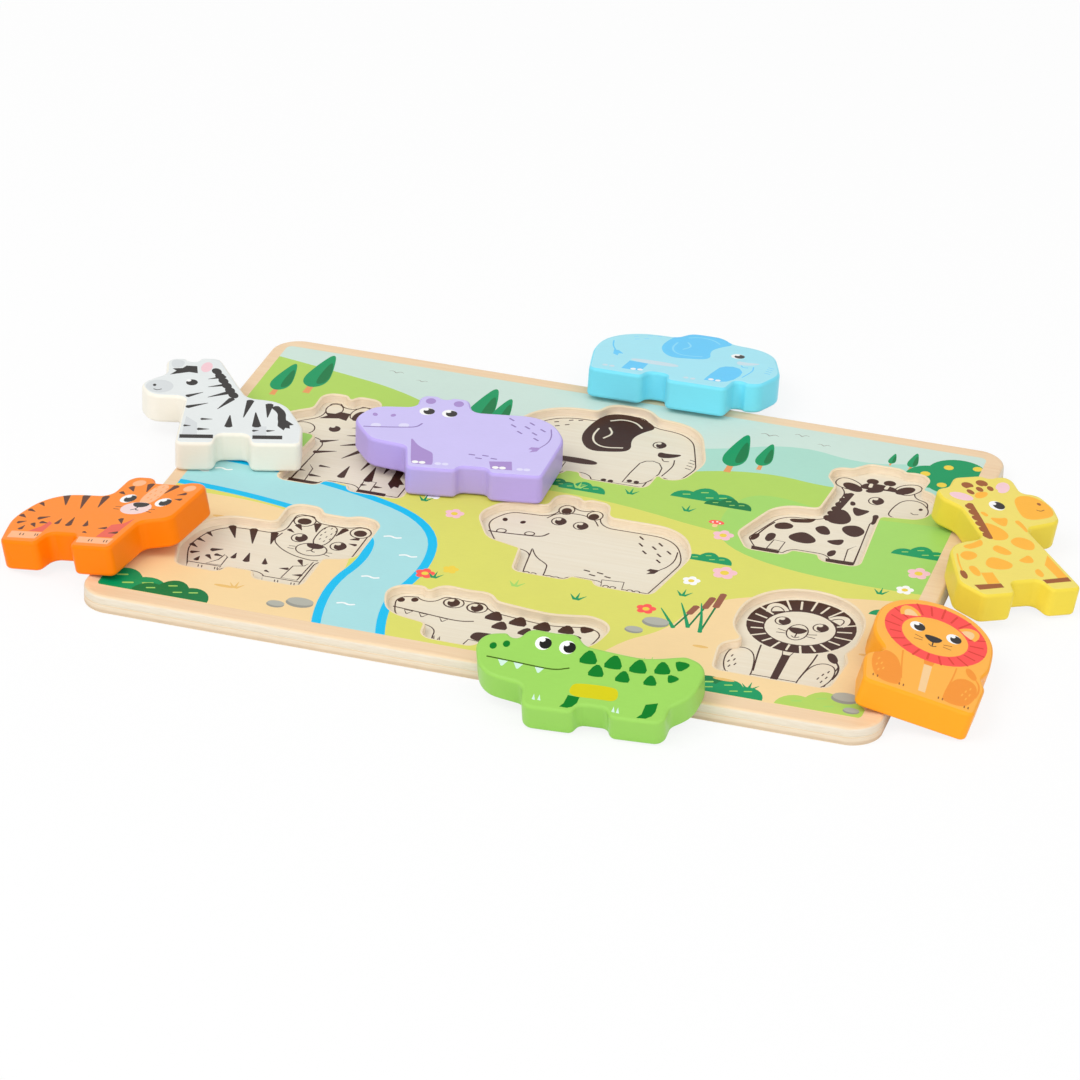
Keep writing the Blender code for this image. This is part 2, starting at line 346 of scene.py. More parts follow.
def eye(x, y, size, pupil="charcoal"):
    """Round eye with a dark pupil and a highlight."""
    return [
        *outlined("white", oval(x - 0.32 * size, y, 1.12 * size, 1.24 * size)),
        *solid(pupil, oval(x, y, 0.86 * size, size)),
        *cleared("white", oval(x - 0.52 * size, y + 0.62 * size, 0.40 * size, 0.40 * size)),
    ]


def zebra():
    """Zebra: ears, forelock, muzzle, eye, legs, hooves, mane, stripes and tail."""
    stripes = [
        (2.3, (0.6, 20), (-5.8, 17.8)), (2.5, (2.2, 13.4), (-5.6, 11)), (2.9, (3.4, 6.8), (-5.4, 2.2)),
        (2.7, (4, 1), (-1.4, -7.8)), (2.3, (-13.4, 3), (-7.4, 6.4)), (2.5, (-13, -6.2), (-5.2, -2.8)),
        (3, (11.2, -0.4), (8.8, -14.6)), (3.2, (18.6, -3.4), (18, -14.4)),
        (3.2, (3.2, -22.4), (3.6, -13)), (3.6, (14, -22), (13.4, -10.4)),
        (1.8, (-7.2, -16.4), (-3, -16.4)), (2.1, (-8.2, -24.8), (-4, -24.8)),
        (1.7, (-13.6, -22), (-11.2, -22)), (1.8, (18.2, -25.8), (21, -25.4)),
        (1.7, (12.8, -25.8), (14.8, -25.4)),
    ]
    return [
        *outlined("zebra_top", oval(-17.4, 30.4, 3.6, 5, 4), oval(-6.6, 30.4, 3.8, 6, -10)),
        *block_only("zebra_grey", patch((-20.6, 35), (-15, 33.8), (-16, 28), (-20.4, 27))),
        *solid("pink", oval(-6.6, 28.2, 2.2, 4.4, -8)),
        *solid("charcoal", facet((-20.8, 21.4), (-18.4, 24.8), (-20, 26.8), (-16, 27.2), (-14.6, 29.4),
                                 (-10.4, 29), (-10, 22.8), (-13.4, 23.8))),
        *outlined("zebra_grey", oval(-24.4, 11.2, 5.4, 5.6)),
        *solid("charcoal", oval(-26.4, 12.2, 0.7, 1),
               stroke(0.5, (-26.6, 8.8), (-25.2, 7.8), (-23.6, 8.8)), oval(-12, 14.8, 2.3, 2.6)),
        *cleared("white", oval(-13.3, 16.5, 1, 1)),
        *outlined("zebra_grey", facet((-13.2, -14), (-8.8, -19.6), (-8.6, -30), (-14.4, -30)),
                  facet((12.6, -22), (17.8, -22), (17.8, -30), (12.6, -30))),
        *solid("charcoal", facet((-15.2, -29.4), (-2.4, -29.4), (-2.4, -32.4), (-15.2, -32.4)),
               facet((12.6, -29.6), (24, -29.6), (24, -32.6), (12.6, -32.6))),
        *solid("charcoal", *mane(-2.6, 24.6, 7, -20.4, 1.9, 2.9, 18),
               *[wedge(*stripe) for stripe in stripes],
               stroke(3.2, (20.8, -5.6), (23.6, -10.4), (23.4, -16), (24.4, -21)),
               facet((22.2, -15), (25.4, -16.6), (28.2, -20.4), (26.6, -21), (26.8, -23.6), (25, -23),
                     (24.4, -25.2), (22, -21.6))),
    ]


def tiger():
    """Tiger: ears, cheek, forehead, legs, paws, muzzle, eyes, stripes, whiskers and claws."""
    stripes = [
        (3, (9, 23), (10.4, 16.8)), (2.9, (20.2, 22.6), (18.4, 16.4)), (2.6, (2.2, 20), (4.8, 16.6)),
        (2.3, (27, 17), (24.2, 15.6)), (2, (0.2, 15.4), (2.8, 13.8)), (1.9, (27.6, 12.2), (24.8, 12.4)),
        (3.1, (-20.6, 10.6), (-16.6, 2.4)), (3.3, (-12.2, 11), (-9, 0.4)), (3.1, (-3.8, 11), (-2.4, 2.2)),
        (2.7, (-6.6, -13.2), (-7.4, -6.8)), (2.2, (-12, -12.4), (-12, -8.4)),
        (2.3, (0.6, -12.8), (-0.6, -8.8)), (2, (-27.4, 3), (-24.8, 0.6)), (2, (-29.2, -2.8), (-26, -4.2)),
        (2.2, (-30.2, -7.4), (-27.2, -9.2)), (2.2, (-28, -13.4), (-25.2, -12)),
        (2.2, (-24.4, -18.4), (-24, -15.4)), (2.6, (-21.4, -9.2), (-17.6, -7.4)),
        (2.1, (-18.8, -12.2), (-15.8, -12.6)), (2.1, (-21.6, -13.6), (-19.2, -16.2)),
        (2.2, (12, -5.8), (14.2, -9.4)), (2, (9.8, -13.6), (6.8, -14.2)), (2, (16.2, -16.6), (13, -17.4)),
        (1.5, (2.6, -17.6), (4.4, -18.4)),
    ]
    whiskers = [(5.6, 3.6, 0.2), (5.6, 2, -0.3), (20.2, 2.8, 0.5), (20, 1.4, -0.8)]
    return [
        *outlined("tiger_top", oval(3.6, 23.8, 4.4, 4.5), oval(26.4, 21.8, 4.2, 4.3)),
        *solid("tiger_top",
               stroke(0.5, (-1.2, 12), (-2.8, 6), (2, 0.4), (8.4, -3.2), (15, -4.6), (18.4, -4))),
        *solid("tiger_pale", oval(3.6, 23.4, 2.7, 2.5), oval(26.4, 21.4, 2.5, 2.5)),
        *outlined("tiger_pale", patch((11.6, 23.4), (18.4, 23.4), (17.8, 7), (10.8, 7))),
        *outlined("tiger_red",
                  facet((-20.2, -19.8), (-14, -19.6), (-13.8, -12.6), (-15.8, -11), (-16.8, -15.4)),
                  facet((9.6, -20.8), (16.2, -20.8), (17.4, -5), (14.8, -9.2), (10.8, -10.8))),
        *outlined("tiger_pale", facet((-26.8, -20.2), (-13.8, -20), (-14.2, -25.2), (-26, -25.4)),
                  facet((2.8, -21.4), (17.6, -21.4), (17.4, -26), (4, -26))),
        *outlined("tiger_muzzle", oval(13.2, 3.4, 6.2, 5)),
        *solid("charcoal", patch((9.8, 8.2), (17.4, 8), (16.8, 5), (13.6, 4), (10.8, 5.2)),
               stroke(0.5, (13.6, 4.8), (13.4, 2.8), (11.8, 1.8)),
               stroke(0.5, (13.4, 2.8), (14, 2), (15, 1.9))),
        *solid("tiger_top",
               *dashes(0.4, (0, -0.5), (0.2, 0.5), (12.6, 20.6), (15, 21.4), (17.2, 20), (13.6, 18),
                       (16.2, 17.4), (12.8, 15.4), (15.2, 14.6), (17, 13.4), (13.4, 12.4), (15.4, 11.2))),
        *eye(6.8, 10.6, 2.8),
        *eye(22.6, 9.2, 2.8),
        *solid("tiger_dark", *[wedge(*stripe) for stripe in stripes],
               *[stroke(0.35, (x - 1.2, y), (x + 1.2, y + rise)) for x, y, rise in whiskers],
               *dashes(0.4, (0, 0.8), (0.4, -0.8), (-22.2, -22.4), (-20.8, -22.4), (-15.8, -22.2),
                       (-14.8, -22.2), (8.2, -23.8), (9.4, -23.8), (14.6, -23.8), (15.8, -23.8))),
    ]


def hippo():
    """Hippo: ears, brow, nostrils, teeth, mouth, legs, tail, eyes, nails and creases."""
    nails = [
        ("white", -13.9, -25.6), ("white", -11.2, -25.7), ("hippo_tooth", -5.2, -25.8),
        ("hippo_tooth", -2.4, -25.8), ("white", 16.7, -25.8), ("white", 19.4, -25.8),
        ("hippo_tooth", 26, -26), ("hippo_tooth", 28.7, -26),
    ]
    return [
        *outlined("hippo_top", oval(-13.8, 26.6, 3.2, 4), oval(-2.4, 25.8, 3.2, 3.8)),
        *solid("hippo_top", stroke(0.5, (-19, 18), (-16.6, 22.8), (-9.4, 25.2), (-2, 23.4), (1, 18.2))),
        *solid("hippo_purple", oval(-13.6, 25.8, 2, 2.5), oval(-2.6, 24.8, 2, 2.5),
               oval(-33.6, 11.4, 1, 1.4, 15), oval(-26.6, 11.6, 1, 1.3, -20)),
        *outlined("hippo_tooth", patch((-34.4, 0.6), (-34, 4.2), (-30.4, 4.2), (-30.2, 1.2)),
                  patch((-23.8, 2), (-23.4, 5.4), (-19.8, 5.6), (-19.4, 2.6))),
        *solid("hippo_line", stroke(0.7, (-36.8, 0.8), (-30, 1.2), (-22, 2.2), (-16.6, 3), (-14.8, 6.4))),
        *outlined("hippo_purple", patch((-17.8, -5), (-14.2, -12.6), (-8.4, -16.8), (-7.8, -19),
                                        (-7, -27.2), (-8.6, -27.2), (-14.6, -27.2), (-15.6, -26),
                                        (-17, -12)),
                  facet((13.8, -21.2), (22.4, -20.2), (23.2, -27.2), (15, -27.2))),
        *solid("hippo_line", stroke(0.5, (34.8, 8.6), (35.6, 2), (34.4, -3.4), (31.8, -7.4))),
        *solid("hippo_purple",
               facet((32.2, -7.2), (28.6, -7.2), (27.6, -9), (29.2, -9.4), (28.2, -11.6), (31, -10.4))),
        *eye(-13.3, 16.9, 2.6),
        *eye(-4.5, 16.2, 2.6),
        *[(ink, "line", oval(x, y, 1.3, 1.1)) for ink, x, y in nails],
        *solid("hippo_line",
               *dashes(0.8, (-0.9, 0.9), (0.9, -0.9), (19, 14.8), (27.2, 12.2), (20.2, 9.6), (25.6, 8.8),
                       (31.8, 7.2), (23, 4.4), (28.8, 4), (29.8, -0.6)),
               *dashes(0.8, (-1.1, 0.2), (1.1, -0.2), (6.8, -16.6), (12, -16.8), (9.6, -19.2),
                       (15.4, -18.8))),
    ]


def elephant():
    """Elephant: ear, cheek, legs, tail, trunk, eye, nails and creases."""
    nails = [
        ("white", -16.6, -24.8), ("white", -13.9, -24.4), ("white", 14.6, -22.8), ("white", 17.4, -22.9),
        ("elephant_pale", 5, -25.4), ("elephant_pale", 7.8, -25.4), ("elephant_pale", -28, -25.2),
        ("elephant_pale", -25.2, -25.2),
    ]
    return [
        *solid("elephant_blue", patch((-9, 29.6), (3, 31), (13.4, 23.6), (8.4, 18), (5.6, 11), (8.6, 1),
                                      (0, -2.4), (-8, -3.8), (-13.8, 6), (-13, 18))),
        *cleared("elephant_fold", stroke(0.8, (-6.2, 23.4), (-2, 26.2), (3.6, 25.4), (7.2, 21.4)),
                 stroke(0.8, (-8.8, 15.6), (-9.4, 9), (-7.2, 3.2), (-2.6, 0.6), (4.6, 2.8)),
                 stroke(0.8, (-5, 17.6), (-2.2, 13), (-4.8, 8.2))),
        *solid("elephant_pale", patch((18.6, 4.6), (22.4, 3.8), (28.8, 5.4), (25.4, 1), (19.4, -0.6))),
        *outlined("elephant_blue", facet((12, -24.6), (12.8, -16), (14.2, -7.2), (16, -4.6), (18.8, -3.6),
                                         (21.8, -4.8), (23.8, -8.4), (24, -13.4), (22.8, -19),
                                         (20.8, -22.6), (18, -24.4)),
                  facet((-20.4, -15.4), (-12.8, -15.8), (-13.2, -25.8), (-21.2, -26))),
        *solid("elephant_pale", patch((-20.8, -11.4), (-1.4, -10.8), (-0.8, -15.6), (-20.2, -15.6))),
        *solid("elephant_blue", stroke(0.6, (-32.8, 6), (-31.6, 0), (-29.2, -5)),
               facet((-29.8, -4.8), (-27.6, -5.2), (-25, -8.4), (-26.8, -8.8), (-26.6, -11.6),
                     (-28.8, -10)),
               stroke(0.5, (26.4, -0.4), (27.2, -5), (26.4, -9.6), (25.2, -14.8)),
               stroke(0.5, (21.4, -0.6), (22.6, -2.8), (24.6, -2.2))),
        *eye(18.2, 9.9, 2.4),
        *[(ink, "solid", oval(x, y, 1.1, 1.2)) for ink, x, y in nails],
        *solid("elephant_blue",
               *[stroke(0.4, (32, y + 0.3), (34.4, y - 0.3)) for y in (1.6, -0.8, -3.2, -5.6)]),
        *solid("elephant_fold", *dashes(0.7, (-0.7, -0.4), (0.7, 0.4), (-21, 18.6), (-17.4, 19.8),
                                        (-26, 15.4), (-21.4, 14.4), (-24.8, 12.2))),
    ]


def giraffe():
    """Giraffe: muzzle, ears, horns, forelock, legs, hooves, eye, tail, spots and mane."""
    spots = [
        patch((2.4, 11.6), (6, 10.2), (9.8, 10.4), (8, 6.6), (5.6, 4), (3.4, 7)),
        patch((-1.8, 8.4), (1.8, 6.6), (5, 0), (2.4, -4.4), (-3.8, -4.2), (-5.6, 1.4)),
        patch((3, -4.6), (8, -2.6), (12.2, -7), (9.6, -12.6), (5.6, -11.8), (2.4, -8)),
        patch((-7.4, -9.6), (-4.2, -6.8), (-1.6, -9.6), (-0.2, -13.6), (-3.4, -14.6), (-6, -12.6)),
        patch((-18.4, -6), (-12.6, -4.8), (-8, -2.4), (-9.2, -6.6), (-12.6, -7.8), (-16.6, -8.8)),
        patch((-22.6, -12), (-18.6, -9.2), (-14.8, -11), (-15.6, -14.4), (-21.2, -16.2)),
        patch((-15.6, -19.6), (-11.4, -14.6), (-7.6, -15.6), (-3.4, -20.4), (-6.8, -23.8), (-13.2, -23)),
        patch((-1, -18.6), (2, -17), (5.8, -15), (5.6, -20.4), (2, -20.8)),
        patch((-22.8, -19.6), (-19.6, -19.4), (-19.4, -24), (-21, -27), (-23.2, -25.2)),
        patch((2.4, -25.6), (4.8, -24.4), (5.2, -28.6), (3.2, -30.8), (1.8, -28.6)),
        patch((0.4, 15.6), (2.4, 15.4), (3.2, 12.6), (1.2, 11.8)),
        patch((11, 7.6), (13.8, 8.2), (13.8, 0.4), (12.2, -0.8), (12, 3.4)),
    ]
    return [
        *outlined("giraffe_orange", patch((16.2, 7.4), (16.4, 15), (19.2, 23.6), (26.2, 24.6), (31, 18.4),
                                          (30.8, 11.4), (27.6, 8))),
        *solid("giraffe_brown", oval(27.4, 17.8, 0.8, 1),
               stroke(0.45, (24.4, 14), (25.6, 12.9), (27.4, 13.6))),
        *cleared("giraffe_top", oval(9, 37.2, 17, 6.4)),
        *outlined("giraffe_top", patch((-9.2, 26.6), (-8.4, 33.4), (-3.2, 34), (3.2, 28.8), (-1, 23.6)),
                  patch((13.2, 28.6), (15.8, 35.2), (22.4, 37.8), (25.4, 33.4), (20.4, 26))),
        *solid("pink", oval(-1.4, 26.9, 4.6, 2.7, -32), oval(18.4, 30.7, 4.4, 2.6, 48)),
        *solid("giraffe_brown", oval(4.8, 34, 2.4, 2.3), oval(11.4, 34.7, 2.4, 2.3)),
        *solid("giraffe_top",
               patch((0.6, 27.2), (2.4, 32.2), (8.4, 32.8), (14.8, 31.8), (16, 28), (11, 28.4), (6, 27))),
        *cleared("giraffe_top", stroke(1.5, (4.8, 31.8), (4.9, 29.2)),
                 stroke(1.5, (11.2, 32.4), (10.9, 29.8))),
        *block_only("giraffe_brown", oval(3.8, 29.4, 1.3, 1.9, 10), oval(8.4, 30.7, 1.4, 1.8),
                    oval(13, 30.7, 1.3, 1.8, -15)),
        *solid("giraffe_orange", patch((3.4, 25.8), (6, 29), (10.8, 28.8), (9.6, 26), (5.4, 24.2))),
        *outlined("giraffe_orange", facet((-19.6, -24.4), (-14.8, -24.8), (-15.4, -32), (-20.6, -32)),
                  facet((8.4, -22.6), (12.8, -16.4), (13.4, -32), (9.2, -32))),
        *solid("giraffe_brown", facet((-26.2, -31.8), (-15.2, -32.2), (-15.2, -35), (-25.6, -35.2)),
               facet((2.4, -32), (13.4, -31.6), (13.6, -34.4), (3, -34.6)),
               oval(-26.8, -24.6, 1.3, 3, -12)),
        *eye(10.5, 18.8, 2.7),
        *solid("giraffe_orange", stroke(0.7, (-22.6, -11), (-24.8, -16.4), (-26.2, -22)), *spots),
        *solid("giraffe_brown", stroke(2.4, (-0.6, 21.4), (-2.2, 9.6), (-4.3, -2.4)),
               *mane(-2, 19.4, -2.9, -19.8, 1.4, 1.9, 8)),
    ]


def lion():
    """Lion: legs, tail, chest, mane with its rays, ears, face, eyes, whiskers, toes and fur."""
    ray_count = 22
    rays = []
    for i in range(ray_count):
        angle = 2.0 * math.pi * (i + 0.3) / ray_count
        along = Vector((math.cos(angle), math.sin(angle)))
        start = Vector((0.3, 10.4)) + 12.8 * along
        end = Vector((0.4, 11.2)) + (19.0 if i % 2 else 17.6) * along
        rays.append(stroke(0.8, start, end))
    whiskers = [stroke(0.4, (side * 3.9, y), (side * 6.9, y + rise))
                for side in (-1, 1) for y, rise in ((6.3, 0.9), (4.9, -0.3))]
    fur = [(side * x, y) for side in (-1, 1)
           for x, y in ((17, -16.4), (15.6, -18.8), (17.2, -20.4), (14.6, -21.8), (16.2, -23.6))]
    return [
        *cleared("lion_top", oval(0.2, 9.4, 25.5, 24.6)),
        *outlined("lion_dark", patch((-19.4, -11), (-14, -8.8), (-9.6, -13), (-7.6, -25), (-8, -29.6),
                                     (-16.2, -29.6), (-19.6, -21)),
                  patch((19, -12.6), (14, -10.4), (9.8, -14.4), (7.8, -25.6), (8.2, -29.8), (16.2, -29.8),
                        (19.6, -21.6))),
        *solid("lion_dark", patch((13.2, -4), (15.6, -3.2), (18.4, -7.6), (17.8, -10.8), (14.6, -8.6)),
               stroke(0.7, (17.2, -8.4), (19.4, -11.6), (20, -16.4), (19.2, -21)),
               stroke(0.6, (-9.6, -6), (-9.2, -12), (-7.8, -24)),
               stroke(0.6, (10.4, -6), (10, -12), (8.4, -24))),
        *solid("lion_tan", facet((-1.2, -9.8), (1.8, -9.8), (1.6, -28.4), (-1, -28.4))),
        *outlined("lion_dark", facet((-1.8, -6.6), (2.6, -6.6), (1.8, -10.2), (-1.2, -10.2))),
        *solid("lion_mane", oval(0.4, 11.2, 19.2, 18.8)),
        *cleared("lion_mane_dark", *rays),
        *cleared("lion_top", dome(-10, 18.8, 4, 6, 22)),
        *outlined("lion_tan", dome(-9.9, 18.6, 2.5, 4, 22)),
        *cleared("lion_top", dome(11, 17.4, 4, 6.2, -32)),
        *outlined("lion_tan", dome(10.8, 17.2, 2.5, 4.2, -32)),
        *solid("lion_mane", oval(0.2, 9.9, 13, 12.3)),
        *cleared("lion_top", oval(0.2, 9.8, 12.4, 11.7)),
        *outlined("lion_top", oval(0, 6.8, 3.9, 5.8)),
        *solid("charcoal", patch((-3.8, 9.9), (3.4, 9.9), (2.6, 7), (0, 5.2), (-3, 7)),
               stroke(0.5, (0, 6.2), (0, 3.4)), stroke(0.4, (-1.4, 3.8), (0, 2.6), (1.4, 3.8))),
        *eye(-6, 12.9, 2.5),
        *eye(7.7, 12.4, 2.5),
        *solid("giraffe_brown", *whiskers,
               *dashes(0.5, (0, 0.7), (0, -0.6), (-17.6, -27.9), (-16, -27.9), (-7.9, -28.2),
                       (-6.4, -28.2), (6.6, -28.7), (8.1, -28.7), (16.2, -28.9), (17.6, -28.9))),
        *solid("lion_top", *dashes(0.5, (0, 0.7), (-0.3, -0.7), *fur)),
    ]


def scute(x, y, size, turn):
    """Plate on the back of a crocodile, turned by degrees."""
    spin = Matrix.Rotation(math.radians(turn), 2)
    corners = ((-1.1, -0.7), (0.0, -0.9), (1.1, -0.7), (0.35, 1.0), (-0.35, 1.0))
    return counter_clockwise(smooth([Vector((x, y)) + spin @ Vector(c) * size for c in corners], 1))


def crocodile():
    """Crocodile: nostrils, belly, legs, teeth, mouth, eyes, scutes and claws."""
    tooth = ((-1.8, 0.9), (-0.3, -1.9), (0.3, -1.9), (1.8, 0.6))
    teeth = ((-30.2, 1), (-24.5, 0.5), (-16.8, -0.2))
    claw = ((-0.6, -1.2), (0.6, -1.4), (-0.2, 1.4))
    claws = ((-16, -13.4), (-14, -13.4), (12.6, -14.6), (14.2, -14.8))
    scutes = [
        (-0.5, 7.8, 3.5, 0), (8.6, 6.9, 3.5, -2), (17.6, 6.4, 3.5, -2), (26, 7, 3.2, 6),
        (32.6, 9.4, 2.6, -70), (3.3, 2, 3.1, 0), (13, 0.8, 2.9, -2), (22.8, 0.6, 2.6, 2),
        (30.4, 2.8, 2.1, -80),
    ]
    return [
        *solid("crocodile_green", oval(-35, 8, 1.3, 1.6), oval(-30.5, 9.6, 1.3, 1.6)),
        *solid("crocodile_belly", patch((-4.4, -11), (-4.2, -5.2), (0, -4.4), (9, -4.4), (12.8, -5.4),
                                        (13, -11.2), (6, -10.8))),
        *outlined("crocodile_green", facet((-4.4, -10.6), (-0.2, -11), (-0.6, -13.8), (-2, -15.8),
                                           (-3.6, -16.6), (-6.4, -16.4), (-5.2, -14.6)),
                  facet((23.2, -10.6), (27.4, -9.2), (27.2, -13.4), (26.2, -15.6), (24.4, -17),
                        (21, -17.2), (22.6, -15.2))),
        *outlined("crocodile_pale", *[facet(*scaled(x, y, 1, 1, *tooth)) for x, y in teeth]),
        *solid("crocodile_line", stroke(0.6, (-36.2, 2.7), (-28, 1.9), (-18, 0.7), (-11, 0.2), (-6.4, 1.9))),
        *outlined("crocodile_top", oval(-16.9, 12, 3.9, 3.7)),
        *eye(-16.9, 12, 2.6, "black"),
        *outlined("crocodile_top", oval(-8.1, 11.4, 3.9, 3.7)),
        *eye(-8.1, 11.4, 2.6, "black"),
        *solid("crocodile_green", *[scute(*place) for place in scutes]),
        *outlined("crocodile_pale", *[facet(*scaled(x, y, 1, 1, *claw)) for x, y in claws]),
    ]


def centred(animal, drawing):
    """Drawing of an animal, moved to lie round the middle of its outline."""
    shift = Vector(DRAWING_MIDDLE[animal])
    return [(ink, style, [p - shift for p in shape]) for ink, style, shape in drawing]


DRAWINGS = {draw.__name__: centred(draw.__name__, draw())
            for draw in (zebra, tiger, hippo, elephant, giraffe, lion, crocodile)}


def line_art(animal, hole):
    """Drawing of an animal as brown lines on the floor of its recess, inside its own contour."""
    place = middle(hole)
    scale, shift = FLOOR_FIT.get(animal, (1.0, (0.0, 0.0)))
    prints = []
    for ink, inset in (("line_brown", CONTOUR_INSET), ("floor", CONTOUR_INSET + LINE_WIDTH)):
        contour = [p - place for p in inset_path(hole, inset)]
        stretch = [CONTOUR_SQUASH if p.y < 0.0 else CONTOUR_STRETCH for p in contour]
        prints.append((ink, [place + Vector((p.x, p.y * s)) for p, s in zip(contour, stretch)]))
    for _, style, shape in DRAWINGS[animal]:
        points = counter_clockwise([place + Vector(shift) + p * scale for p in shape])
        if style in ("solid", "line"):
            prints.append(("line_brown", points))
        if style == "line":
            prints.append(("floor", shrunk(points, LINE_WIDTH)))
        if style == "bare":
            prints.append(("floor", points))
    return prints


# Landscape on the board, a generic design of hills, a stream, trees and flowers.


def flower(x, y, ink, size):
    """Five round petals round a yellow middle."""
    angles = [math.radians(72.0 * i + 18.0) for i in range(5)]
    petals = [oval(x + size * math.cos(a), y + size * math.sin(a), 0.72 * size, 0.72 * size)
              for a in angles]
    return [(ink, petal) for petal in petals] + [("petal_yellow", oval(x, y, 0.6 * size, 0.6 * size))]


def tuft(x, y, size, ink):
    """Three blades of grass."""
    return [(ink, wedge(0.32 * size, (x + 0.2 * lean * size, y), (x + lean * size, y + rise * size)))
            for lean, rise in ((-0.7, 0.8), (0.0, 1.2), (0.7, 0.8))]


def cypress(x, y, height):
    """Slim pointed tree on a short trunk."""
    half = 0.17 * height
    trunk = scaled(x, y, half, height, (-0.25, 0), (0.25, 0), (0.2, 0.25), (-0.2, 0.25))
    crown = scaled(x, y, half, height, (-1, 0.3), (-0.6, 0.75), (0, 1.12), (0.6, 0.75), (1, 0.3), (0, 0.12))
    shadow = scaled(x, y, half, height, (0, 0.24), (0.1, 0.95), (0.75, 0.6), (0.8, 0.3))
    return [("bark", facet(*trunk)), ("bush", patch(*crown)), ("bush_dark", patch(*shadow))]


def mushroom(x, y, size):
    """Red cap with pale dots on a pale stem."""
    stem = scaled(x, y, size, size, (-0.4, -1), (0.4, -1), (0.3, 0.2), (-0.3, 0.2))
    cap = scaled(x, y, size, size, (-1.2, -0.1), (-0.9, 1), (0.9, 1), (1.2, -0.1))
    dots = scaled(x, y, size, size, (-0.5, 0.35), (0.05, 0.6), (0.5, 0.3))
    return [("lion_tan", patch(*stem)), ("petal_red", patch(*cap)),
            *[("white", oval(*dot, 0.16 * size, 0.16 * size)) for dot in dots]]


def reed(x, y, height, lean):
    """Cattail: a stem, a brown head and a leaf."""
    tip = (x + lean, y + height)
    low = (x + 0.7 * lean, y + 0.66 * height)
    leaf = stroke(1.8, (x, y), (x - 0.6 * lean - 1.6, y + 0.36 * height), (x - lean - 4.0, y + 0.7 * height),
                  end_share=0.15)
    return [("bush_dark", stroke(0.8, (x, y), tip)), ("bush", leaf), ("bark_dark", stroke(2.6, low, tip))]


def pebble(x, y, half_width, half_height):
    """Grey stone with a darker underside."""
    return [("stone_dark", oval(x, y - 0.2 * half_height, half_width, half_height)),
            ("stone", oval(x, y + 0.15 * half_height, 0.96 * half_width, 0.82 * half_height))]


def bush(x, y, size, ink):
    """Shrub of three round lobes on a flat base, with a few leaf marks."""
    lobes = ((-1.1, 0.8, 0.9), (0.9, 0.9, 1.1), (-0.1, 0.9, 1.5))
    leaves = scaled(x, y, size, size, (-1.1, 0.4), (-0.2, 0.9), (0.2, 0.4), (0.9, 0.6))
    marks = dashes(0.10 * size, (-0.18 * size, 0), (0.18 * size, 0.12 * size), *leaves)
    return [*[(ink, dome(x + a * size, y, b * size, c * size, steps=12)) for a, b, c in lobes],
            *[("grass", mark) for mark in marks]]


def fruit_tree(x, y, height):
    """Round crown with yellow fruit on a short trunk."""
    r = 0.26 * height
    trunk = stroke(0.10 * height, *scaled(x, y, r, height, (0, 0), (0, 0.3), (0, 0.6)))
    crown = ((-0.75, 0.62, 0.9), (0.75, 0.62, 0.9), (0.0, 0.78, 1.0), (0.0, 0.56, 0.9))
    fruit = scaled(x, y, r, height, (-1, 0.66), (-0.35, 0.84), (0.3, 0.66), (0.95, 0.7), (-0.3, 0.5),
                   (0.6, 0.9))
    return [("bark_dark", trunk),
            *[("bush", oval(x + a * r, y + b * height, c * r, 0.9 * c * r)) for a, b, c in crown],
            *[("petal_yellow", oval(*place, 0.17 * r, 0.17 * r)) for place in fruit]]


def bird(x, y, size):
    """Far bird: two bent wings."""
    return [("stone_dark", stroke(0.16 * size, (x, y), (x + side * 0.5 * size, y + 0.5 * size),
                                  (x + side * size, y + 0.25 * size), end_share=0.3))
            for side in (-1.0, 1.0)]


def wave(x, y):
    """White wave on the stream."""
    return [("white", stroke(0.9, *scaled(x, y, 1, 1, (-3.2, 0), (-1, 1.2), (1.2, 0), (3.2, 1))))]


def sand_mark(x, y, half_width):
    """Flat dark mark in the sand."""
    return [("sand_dark", oval(x, y, half_width, 0.9))]


def print_field():
    """Border of the print on the board, a rectangle with round corners."""
    left, right, front, back = -144.5, 142.5, -104.5, 105.5
    r = 6.0
    return smooth(((left, front + r), (left, front), (left + r, front), (right - r, front),
                   (right, front), (right, front + r), (right, back - r), (right, back),
                   (right - r, back), (left + r, back), (left, back), (left, back - r)), 3)


